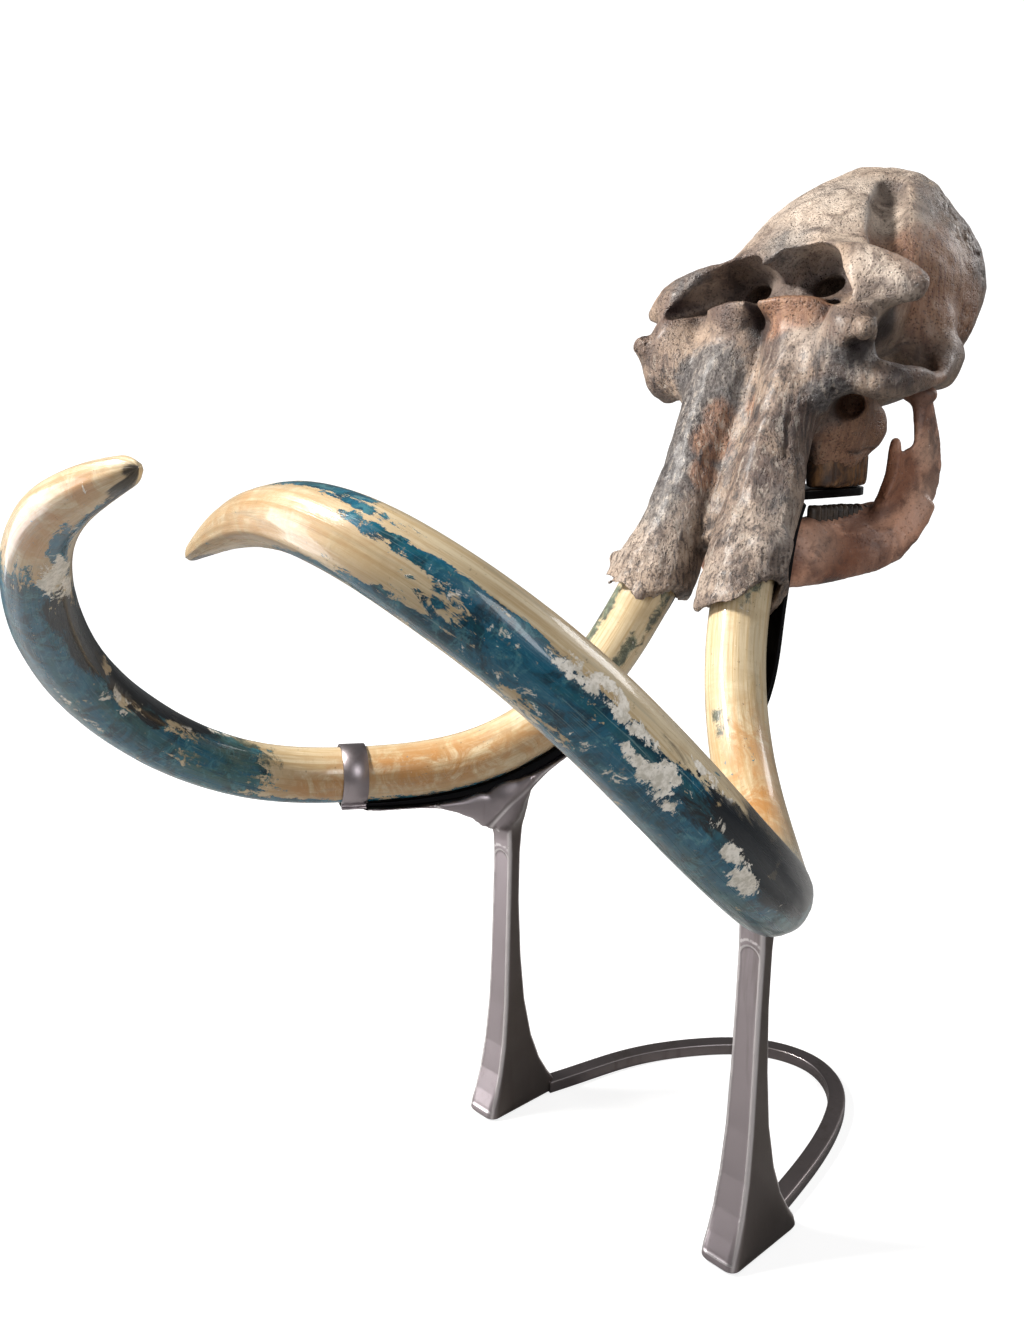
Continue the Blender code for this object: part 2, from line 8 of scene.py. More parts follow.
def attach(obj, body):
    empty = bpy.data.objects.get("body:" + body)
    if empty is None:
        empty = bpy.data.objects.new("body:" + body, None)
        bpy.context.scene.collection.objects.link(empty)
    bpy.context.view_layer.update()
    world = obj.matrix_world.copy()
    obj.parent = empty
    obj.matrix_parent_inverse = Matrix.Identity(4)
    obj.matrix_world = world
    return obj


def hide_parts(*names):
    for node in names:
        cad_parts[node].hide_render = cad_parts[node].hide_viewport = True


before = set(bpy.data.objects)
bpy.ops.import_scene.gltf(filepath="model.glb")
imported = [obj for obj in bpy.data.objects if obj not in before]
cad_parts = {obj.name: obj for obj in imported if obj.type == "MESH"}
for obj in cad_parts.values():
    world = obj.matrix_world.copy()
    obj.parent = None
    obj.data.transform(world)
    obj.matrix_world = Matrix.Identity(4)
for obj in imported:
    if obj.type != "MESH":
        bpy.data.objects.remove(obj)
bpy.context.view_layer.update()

# All places below are measured from the floor midway between the two feet, with the
# animal's own left along +X and its nose towards -Y. The assembly stands this far off.
standShift = Vector((-0.0615, 0.0713, 0.0))


# the viewpoint comes first

viewpoint = {
    "place": (1.559, -1.782, 1.65),
    "turn": 47.0,      # degrees round to the left from looking along +Y
    "pitch": 11.4,     # degrees below the horizon
    "lens": 31.55,     # millimetres on a 36 mm wide sensor
}


def makeCamera():
    data = bpy.data.cameras.new("studioCamera")
    data.lens = viewpoint["lens"]
    data.sensor_width = 36
    camera = bpy.data.objects.new("studioCamera", data)
    camera.location = Vector(viewpoint["place"]) + standShift
    camera.rotation_euler = (radians(90 - viewpoint["pitch"]), 0, radians(viewpoint["turn"]))
    bpy.context.collection.objects.link(camera)
    bpy.context.scene.camera = camera


studio = {
    "floorHalf": 14.0,
    "floorTint": (0.34, 0.34, 0.34, 1),
    "floorGlow": (0.80, 1.1),      # near the feet and far away
    "floorFade": (1.3, 3.6),       # metres from the middle between which it changes
    "skyTint": (1.0, 1.0, 1.0, 1),
    "skyPower": 0.16,
    "backdropPower": 1.2,
    # place, aimed at, size across and up, watts, tint
    "lamps": {
        "keyLamp": ((-2.3, -2.9, 4.5), (0.0, 0.1, 1.7), (0.9, 0.9), 545, (1.0, 0.97, 0.92)),
        "rightLamp": ((3.6, -1.2, 3.0), (0.1, 0.3, 1.6), (0.8, 2.2), 56, (0.97, 0.98, 1.0)),
        "rearLamp": ((1.2, 4.0, 3.6), (0.0, 0.5, 1.6), (2.2, 1.2), 60, (1.0, 0.98, 0.96)),
        "frontCard": ((-2.9, -2.7, 1.1), (0.0, 0.0, 0.7), (1.8, 2.4), 72, (1.0, 0.98, 0.99)),
    },
}


def makeStudio():
    world = bpy.data.worlds.new("studioSky")
    world.use_nodes = True
    tree = world.node_tree
    sky = tree.nodes["Background"]
    sky.inputs["Color"].default_value = studio["skyTint"]
    sky.inputs["Strength"].default_value = studio["skyPower"]
    backdrop = tree.nodes.new("ShaderNodeBackground")
    backdrop.inputs["Color"].default_value = studio["skyTint"]
    backdrop.inputs["Strength"].default_value = studio["backdropPower"]
    direct = tree.nodes.new("ShaderNodeLightPath")
    either = tree.nodes.new("ShaderNodeMixShader")
    tree.links.new(direct.outputs["Is Camera Ray"], either.inputs[0])
    tree.links.new(sky.outputs[0], either.inputs[1])
    tree.links.new(backdrop.outputs[0], either.inputs[2])
    tree.links.new(either.outputs[0], tree.nodes["World Output"].inputs["Surface"])
    bpy.context.scene.world = world
    bpy.context.scene.view_settings.view_transform = "Standard"
    for name, (place, aim, size, watts, tint) in studio["lamps"].items():
        data = bpy.data.lights.new(name, "AREA")
        data.shape = "RECTANGLE"
        data.size, data.size_y = size
        data.energy = watts
        data.color = tint
        lamp = bpy.data.objects.new(name, data)
        lamp.location = Vector(place) + standShift
        aimed = Vector(aim) - Vector(place)
        lamp.rotation_euler = aimed.to_track_quat("-Z", "Y").to_euler()
        bpy.context.collection.objects.link(lamp)
    half = studio["floorHalf"]
    mesh = bpy.data.meshes.new("studioFloor")
    corners = [(-half, -half, 0), (half, -half, 0), (half, half, 0), (-half, half, 0)]
    mesh.from_pydata(corners, [], [(0, 1, 2, 3)])
    floor = bpy.data.objects.new("studioFloor", mesh)
    floor.location.z = -0.0005
    bpy.context.collection.objects.link(floor)
    paper = Finish("studioPaper")
    seen = paper.node("ShaderNodeLightPath", {}, out="Is Camera Ray")
    away = paper.node("ShaderNodeVectorMath", {"operation": "LENGTH"}, paper.place(), out="Value")
    near, far = studio["floorGlow"]
    glow = paper.mix(away.between(*studio["floorFade"]), (near, near, near, 1), (far, far, far, 1))
    paper.shade(colour=studio["floorTint"], roughness=0.75,
                fixed={"Emission Color": paper.mix(seen, (0, 0, 0, 1), glow), "Emission Strength": 1.0})
    mesh.materials.append(paper.material)


# shader maths written as plain expressions

class Wire:
    def __init__(self, finish, socket):
        self.finish = finish
        self.socket = socket

    def combine(self, operation, *values):
        return self.finish.node("ShaderNodeMath", {"operation": operation}, *values)

    def __add__(self, other):
        return self.combine("ADD", self, other)

    def __radd__(self, other):
        return self.combine("ADD", other, self)

    def __sub__(self, other):
        return self.combine("SUBTRACT", self, other)

    def __rsub__(self, other):
        return self.combine("SUBTRACT", other, self)

    def __mul__(self, other):
        return self.combine("MULTIPLY", self, other)

    def __rmul__(self, other):
        return self.combine("MULTIPLY", other, self)

    def clip(self):
        return self.finish.node("ShaderNodeClamp", {}, self)

    def between(self, low, high):
        return self.finish.node("ShaderNodeMapRange", {"interpolation_type": "SMOOTHSTEP"}, self, low, high)


class Finish:
    # one surface finish: a material, with one method that adds any node
    def __init__(self, name):
        self.material = bpy.data.materials.new(name)
        self.material.use_nodes = True
        self.tree = self.material.node_tree
        self.shader = self.tree.nodes["Principled BSDF"]

    def node(self, kind, settings, *values, out=0, **named):
        node = self.tree.nodes.new(kind)
        for key, value in settings.items():
            setattr(node, key, value)
        slots = list(enumerate(values)) + list(named.items())
        for key, value in slots:
            self.fill(node.inputs[key], value)
        return Wire(self, node.outputs[out])

    def fill(self, socket, value):
        if isinstance(value, Wire):
            self.tree.links.new(value.socket, socket)
        elif value is not None:
            socket.default_value = value

    def mix(self, share, first, second):
        # the five sockets between the share and the two colours are for numbers and vectors
        between = [None] * 5
        return self.node("ShaderNodeMix", {"data_type": "RGBA"}, share, *between, first, second, out=2)

    def place(self):
        return self.node("ShaderNodeTexCoord", {}, out="Object")

    def painted(self, name):
        return self.node("ShaderNodeAttribute", {"attribute_name": name}, out="Fac")

    def stretched(self, where, scale):
        return self.node("ShaderNodeVectorMath", {"operation": "MULTIPLY"}, where, scale)

    def noise(self, where, scale, detail=4.0, rough=0.55, twist=0.0):
        return self.node("ShaderNodeTexNoise", {}, Vector=where, Scale=scale, Detail=detail,
                         Roughness=rough, Distortion=twist)

    def cells(self, where, scale):
        return self.node("ShaderNodeTexVoronoi", {}, Vector=where, Scale=scale)

    def bump(self, height, depth, under=None):
        return self.node("ShaderNodeBump", {}, Strength=1.0, Distance=depth, Height=height, Normal=under)

    def shade(self, colour=None, roughness=None, metallic=None, normal=None, coat=None, fixed=None):
        inputs = {"Base Color": colour, "Roughness": roughness, "Metallic": metallic, "Normal": normal,
                  "Coat Weight": coat}
        for name, value in {**inputs, **(fixed or {})}.items():
            if value is not None:
                self.fill(self.shader.inputs[name], value)


# curves and rings

def smoothCurve(points, count):
    # even steps along a natural cubic spline through the points
    points = np.array(points, float)
    steps = np.linalg.norm(np.diff(points, axis=0), axis=1)
    knots = np.concatenate([[0.0], np.cumsum(steps)])
    size = len(points)
    matrix = np.eye(size)
    bend = np.zeros_like(points)
    for i in range(1, size - 1):
        before, after = steps[i - 1], steps[i]
        matrix[i, i - 1 : i + 2] = before, 2 * (before + after), after
        bend[i] = 6 * ((points[i + 1] - points[i]) / after - (points[i] - points[i - 1]) / before)
    second = np.linalg.solve(matrix, bend)
    places = np.linspace(0, knots[-1], 1500)
    i = np.clip(np.searchsorted(knots, places) - 1, 0, size - 2)
    h = steps[i]
    a = ((knots[i + 1] - places) / h)[:, None]
    b = ((places - knots[i]) / h)[:, None]
    h = h[:, None]
    fine = a * points[i] + b * points[i + 1] + ((a**3 - a) * second[i] + (b**3 - b) * second[i + 1]) * h * h / 6
    travelled = np.concatenate([[0.0], np.cumsum(np.linalg.norm(np.diff(fine, axis=0), axis=1))])
    wanted = np.linspace(0, travelled[-1], count)
    return np.stack([np.interp(wanted, travelled, fine[:, axis]) for axis in range(3)], 1)


def unit(vectors):
    return vectors / np.maximum(np.linalg.norm(vectors, axis=-1, keepdims=True), 1e-9)


def headings(path):
    ahead = np.concatenate([path[1:], path[-1:]])
    behind = np.concatenate([path[:1], path[:-1]])
    return unit(ahead - behind)


# value noise, worked out for many points at once

class Grit:
    def __init__(self, seed, size=24):
        self.size = size
        self.table = np.random.default_rng(seed).random((size, size, size))

    def once(self, points):
        whole = np.floor(points)
        part = points - whole
        part = part * part * (3 - 2 * part)
        i = whole.astype(int) % self.size
        j = (i + 1) % self.size
        x, y, z = part.T
        total = 0
        for pickX, shareX in ((i[:, 0], 1 - x), (j[:, 0], x)):
            for pickY, shareY in ((i[:, 1], 1 - y), (j[:, 1], y)):
                for pickZ, shareZ in ((i[:, 2], 1 - z), (j[:, 2], z)):
                    total = total + self.table[pickX, pickY, pickZ] * shareX * shareY * shareZ
        return total * 2 - 1

    def layered(self, points, scale, layers=3, fade=0.5):
        total, weight = 0, 1.0
        for layer in range(layers):
            total = total + weight * self.once(points * scale * 2.03**layer + 7.3 * layer)
            weight *= fade
        return total


# clay: a block of cells that masses are pressed into and hollows are scooped from

class Clay:
    def __init__(self, half, low, high, cell):
        self.cell = cell
        self.low = np.array([0.0 if half else low[0], low[1], low[2]])
        counts = [int(round((high[axis] - self.low[axis]) / cell)) + 1 for axis in range(3)]
        self.half = half
        self.field = np.full(counts, 0.2, np.float32)
        self.axes = [self.low[axis] + cell * np.arange(counts[axis]) for axis in range(3)]

    def patch(self, low, high):
        slices, grids = [], []
        for axis in range(3):
            start = int(np.clip(np.searchsorted(self.axes[axis], low[axis]), 0, len(self.axes[axis])))
            stop = int(np.clip(np.searchsorted(self.axes[axis], high[axis]), start, len(self.axes[axis])))
            slices.append(slice(start, stop))
            grids.append(self.axes[axis][start:stop])
        x, y, z = grids
        return tuple(slices), (x[:, None, None], y[None, :, None], z[None, None, :])

    def press(self, slices, distance, blend, scoop):
        field = self.field[slices]
        if scoop:
            distance = -distance
        overlap = np.maximum(blend - np.abs(field - distance), 0) / blend
        eased = overlap * overlap * blend / 4
        joined = np.maximum(field, distance) + eased if scoop else np.minimum(field, distance) - eased
        self.field[slices] = joined

    def lump(self, centre, radii, turn=(0, 0, 0), blend=0.03, scoop=False):
        centre, radii = np.array(centre), np.array(radii)
        reach = radii.max() + blend + 3 * self.cell
        slices, (x, y, z) = self.patch(centre - reach, centre + reach)
        back = np.array(Euler([radians(angle) for angle in turn]).to_matrix().transposed())
        away = [x - centre[0], y - centre[1], z - centre[2]]
        local = [back[row, 0] * away[0] + back[row, 1] * away[1] + back[row, 2] * away[2] for row in range(3)]
        near = np.sqrt(sum((local[axis] / radii[axis]) ** 2 for axis in range(3))) + 1e-6
        slope = np.sqrt(sum((local[axis] / radii[axis] ** 2) ** 2 for axis in range(3))) + 1e-6
        self.press(slices, (near * (near - 1) / slope).astype(np.float32), blend, scoop)

    def limb(self, points, widths, sideHint=(1, 0, 0), blend=0.03, scoop=False, cap=0.015, steps=14, power=2):
        path = smoothCurve(points, steps)
        places = np.linspace(0, 1, len(widths))
        spots = np.linspace(0, 1, steps)
        wide = np.interp(spots, places, [w[0] for w in widths])
        deep = np.interp(spots, places, [w[1] for w in widths])
        reach = max(wide.max(), deep.max()) + blend + 3 * self.cell
        slices, _ = self.patch(path.min(0) - reach, path.max(0) + reach)
        nearest = np.full([part.stop - part.start for part in slices], 0.3, np.float32)
        for i in range(steps - 1):
            start, run = path[i], path[i + 1] - path[i]
            length = np.linalg.norm(run)
            along = run / length
            side = np.array(sideHint, float)
            side = side - along * side.dot(along)
            side /= np.linalg.norm(side)
            lift = np.cross(along, side)
            grow = max(wide[i : i + 2].max(), deep[i : i + 2].max()) + blend + 2 * self.cell
            ends = path[i : i + 2]
            inner, (px, py, pz) = self.patch(ends.min(0) - grow, ends.max(0) + grow)
            local = tuple(slice(part.start - whole.start, part.stop - whole.start)
                          for part, whole in zip(inner, slices))
            away = [px - start[0], py - start[1], pz - start[2]]
            travel = away[0] * along[0] + away[1] * along[1] + away[2] * along[2]
            share = np.clip(travel / length, 0, 1)
            over = travel - share * length
            across = away[0] * side[0] + away[1] * side[1] + away[2] * side[2]
            up = away[0] * lift[0] + away[1] * lift[1] + away[2] * lift[2]
            halfWide = wide[i] + (wide[i + 1] - wide[i]) * share
            halfDeep = deep[i] + (deep[i + 1] - deep[i]) * share
            end = cap if i in (0, steps - 2) else (halfWide + halfDeep) / 2
            near = (np.abs(across / halfWide) ** power + np.abs(up / halfDeep) ** power
                    + np.abs(over / end) ** power) ** (1 / power) + 1e-6
            size = np.sqrt(across**2 + up**2 + over**2) + 1e-6
            distance = np.where(near < 1, (near - 1) * np.minimum(halfWide, halfDeep), size * (1 - 1 / near))
            nearest[local] = np.minimum(nearest[local], distance)
        self.press(slices, nearest, blend, scoop)

    def unfold(self):
        # the other half is the same block seen in a mirror
        if self.half:
            self.field = np.concatenate([self.field[:0:-1], self.field])
            self.low[0] = -self.axes[0][-1]
            self.axes[0] = self.low[0] + self.cell * np.arange(self.field.shape[0])
            self.half = False

    def fray(self, grit, low, high, scale, depth, layers):
        # wear the clay unevenly inside a box, most at its middle
        slices, (x, y, z) = self.patch(low, high)
        shape = self.field[slices].shape
        spots = np.stack([np.broadcast_to(part, shape).ravel() for part in (x, y, z)], 1)
        middle, half = (np.array(low) + np.array(high)) / 2, (np.array(high) - np.array(low)) / 2
        fade = np.clip(1.6 * (1 - np.abs((spots - middle) / half).max(1)), 0, 1)
        wear = grit.layered(spots, scale, layers) * depth * fade
        self.field[slices] += wear.reshape(shape).astype(np.float32)

    def trim(self, grit, heights, low, high, slope, ragged):
        # take away everything under a rim line: heights at places across, sloping down towards the back
        slices, (x, y, z) = self.patch(low, high)
        shape = self.field[slices].shape
        rim = np.interp(x, [h[0] for h in heights], [h[1] for h in heights])
        spots = np.stack([np.broadcast_to(part, shape).ravel() for part in (x, y, z)], 1)
        wander = (grit.layered(spots, 24.0, 4, 0.6) * ragged).reshape(shape)
        under = (rim - slope * (y - low[1]) + wander - z) * 0.8
        self.field[slices] = np.maximum(self.field[slices], under.astype(np.float32))

    def depthAt(self, points):
        # the field read between its cells
        spots = (points - self.low) / self.cell
        spots = np.clip(spots, 0, np.array(self.field.shape) - 1.001)
        i = spots.astype(int)
        x, y, z = (spots - i).T
        total = 0
        for dx, shareX in ((0, 1 - x), (1, x)):
            for dy, shareY in ((0, 1 - y), (1, y)):
                for dz, shareZ in ((0, 1 - z), (1, z)):
                    value = self.field[i[:, 0] + dx, i[:, 1] + dy, i[:, 2] + dz]
                    total = total + value * shareX * shareY * shareZ
        return total

    def skin(self):
        # one point in every cell that the surface crosses, and a face across every crossed edge
        field = self.field
        inside = field < 0
        cells = [n - 1 for n in field.shape]
        corners = [(dx, dy, dz) for dx in (0, 1) for dy in (0, 1) for dz in (0, 1)]

        def shifted(array, corner):
            return array[tuple(slice(d, d + n) for d, n in zip(corner, cells))]

        count = sum(shifted(inside, corner).astype(np.int8) for corner in corners)
        crossed = (count > 0) & (count < 8)
        number = np.full(cells, -1, np.int64)
        i, j, k = np.nonzero(crossed)
        number[i, j, k] = np.arange(len(i))
        total, hits = np.zeros((len(i), 3)), np.zeros(len(i))
        for corner in corners:
            for axis in range(3):
                if corner[axis]:
                    continue
                other = list(corner)
                other[axis] = 1
                near = field[i + corner[0], j + corner[1], k + corner[2]]
                far = field[i + other[0], j + other[1], k + other[2]]
                flips = (near < 0) != (far < 0)
                share = np.where(flips, near / np.where(flips, near - far, 1), 0)
                spot = np.tile(np.array(corner, float), (len(i), 1))
                spot[:, axis] = share
                total[flips] += spot[flips]
                hits += flips
        points = (np.stack([i, j, k], 1) + total / hits[:, None]) * self.cell + self.low
        faces = []
        for axis in range(3):
            one, two = [(1, 2), (2, 0), (0, 1)][axis]
            ahead = [slice(None)] * 3
            behind = [slice(None)] * 3
            ahead[axis], behind[axis] = slice(1, None), slice(0, -1)
            flips = inside[tuple(behind)] != inside[tuple(ahead)]
            for a in (one, two):
                edge = [slice(None)] * 3
                edge[a] = 0
                flips[tuple(edge)] = False
                edge[a] = -1
                flips[tuple(edge)] = False
            spots = np.stack(np.nonzero(flips), 1)
            stepOne, stepTwo = np.eye(3, dtype=int)[one], np.eye(3, dtype=int)[two]
            ring = [spots, spots - stepOne, spots - stepOne - stepTwo, spots - stepTwo]
            quads = np.stack([number[tuple(spot.T)] for spot in ring], 1)
            turned = ~inside[tuple(spots.T)]
            quads[turned] = quads[turned][:, ::-1]
            faces.append(quads)
        return points, np.concatenate(faces)


def toMesh(name, points, faces, finish):
    mesh = bpy.data.meshes.new(name)
    mesh.from_pydata([tuple(p) for p in points], [], [tuple(f) for f in faces])
    mesh.materials.append(finish.material)
    mesh.shade_smooth()
    piece = bpy.data.objects.new(name, mesh)
    bpy.context.collection.objects.link(piece)
    return piece


def settle(piece):
    # keep the mesh that the piece's modifiers give
    shaped = bpy.data.meshes.new_from_object(piece.evaluated_get(bpy.context.evaluated_depsgraph_get()))
    shaped.name = piece.name
    piece.modifiers.clear()
    piece.data = shaped
    shaped.shade_smooth()


def soften(piece, turns):
    smooth = piece.modifiers.new("soften", "SMOOTH")
    smooth.factor = 0.5
    smooth.iterations = turns
    settle(piece)


def thinOut(piece, triangles):
    have = sum(len(face.vertices) - 2 for face in piece.data.polygons)
    if have > triangles:
        thin = piece.modifiers.new("thin", "DECIMATE")
        thin.ratio = triangles / have
        settle(piece)


def pointsOf(piece):
    flat = np.empty(len(piece.data.vertices) * 3)
    piece.data.vertices.foreach_get("co", flat)
    return flat.reshape(-1, 3)


def normalsOf(piece):
    flat = np.empty(len(piece.data.vertices) * 3)
    piece.data.vertex_normals.foreach_get("vector", flat)
    return flat.reshape(-1, 3)


def movePoints(piece, points):
    piece.data.vertices.foreach_set("co", points.ravel())
    piece.data.update()


def paint(piece, name, values):
    layer = piece.data.attributes.new(name, "FLOAT", "POINT")
    layer.data.foreach_set("value", np.asarray(values, np.float32))


def squared(values, fullness):
    # a cosine or sine pushed out towards a square's corners
    return np.sign(values) * np.abs(values) ** fullness


def paintHollowShade(piece, clay, points, normals, reach):
    # painted shade: the less open air just outside the surface, the darker the bone is painted there
    openness = np.clip(clay.depthAt(points + normals * reach) / reach, 0, 1)
    paint(piece, "hollowShade", 1 - openness)


def relief(points, grit, swells):
    # uneven swelling: depth, scale and layers of each
    return sum(depth * grit.layered(points, scale, layers) for depth, scale, layers in swells)


def softSpots(points, spots):
    # soft round spots, for stains and for painted shade: place, radius, strength
    total = np.zeros(len(points))
    for place, radius, strength in spots:
        away = np.linalg.norm(points - np.array(place), axis=1) / radius
        total = np.maximum(total, strength * np.clip(1.5 - away, 0, 1))
    return total


def alongPath(points, route):
    # distance from each point to an open line
    best = np.full(len(points), 1e9)
    route = np.array(route, float)
    for start, end in zip(route, route[1:]):
        run = end - start
        share = np.clip((points - start) @ run / (run @ run), 0, 1)
        best = np.minimum(best, np.linalg.norm(points - (start + share[:, None] * run), axis=1))
    return best


def crackedAt(points, cracks, grit, deep):
    # how near each point is to a crack (0 to 1), or how deep the crack is there
    jitter = points + 0.004 * np.stack([grit.once(points * 45 + 3 * i) for i in range(3)], 1)
    total = np.zeros(len(points))
    for route, half, depth in cracks:
        near = np.exp(-((alongPath(jitter, route) / half) ** 2))
        total = np.maximum(total, near * (depth if deep else 1))
    return total


def loftMesh(name, rings, finish):
    # a closed skin over rows of points, with a point in the middle of each end
    steps, sides = rings.shape[:2]
    points = np.concatenate([rings.reshape(-1, 3), [rings[0].mean(0)], [rings[-1].mean(0)]])
    faces = []
    for i in range(steps - 1):
        for j in range(sides):
            k = (j + 1) % sides
            faces.append((i * sides + j, i * sides + k, (i + 1) * sides + k, (i + 1) * sides + j))
    last = (steps - 1) * sides
    for j in range(sides):
        k = (j + 1) % sides
        faces.append((steps * sides, k, j))
        faces.append((steps * sides + 1, last + j, last + k))
    return toMesh(name, points, faces, finish)


def hand(piece, slotName, *nodes):
    piece.data.transform(Matrix.Translation(standShift))
    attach(piece, "root")
    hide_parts(*nodes)


# cranium

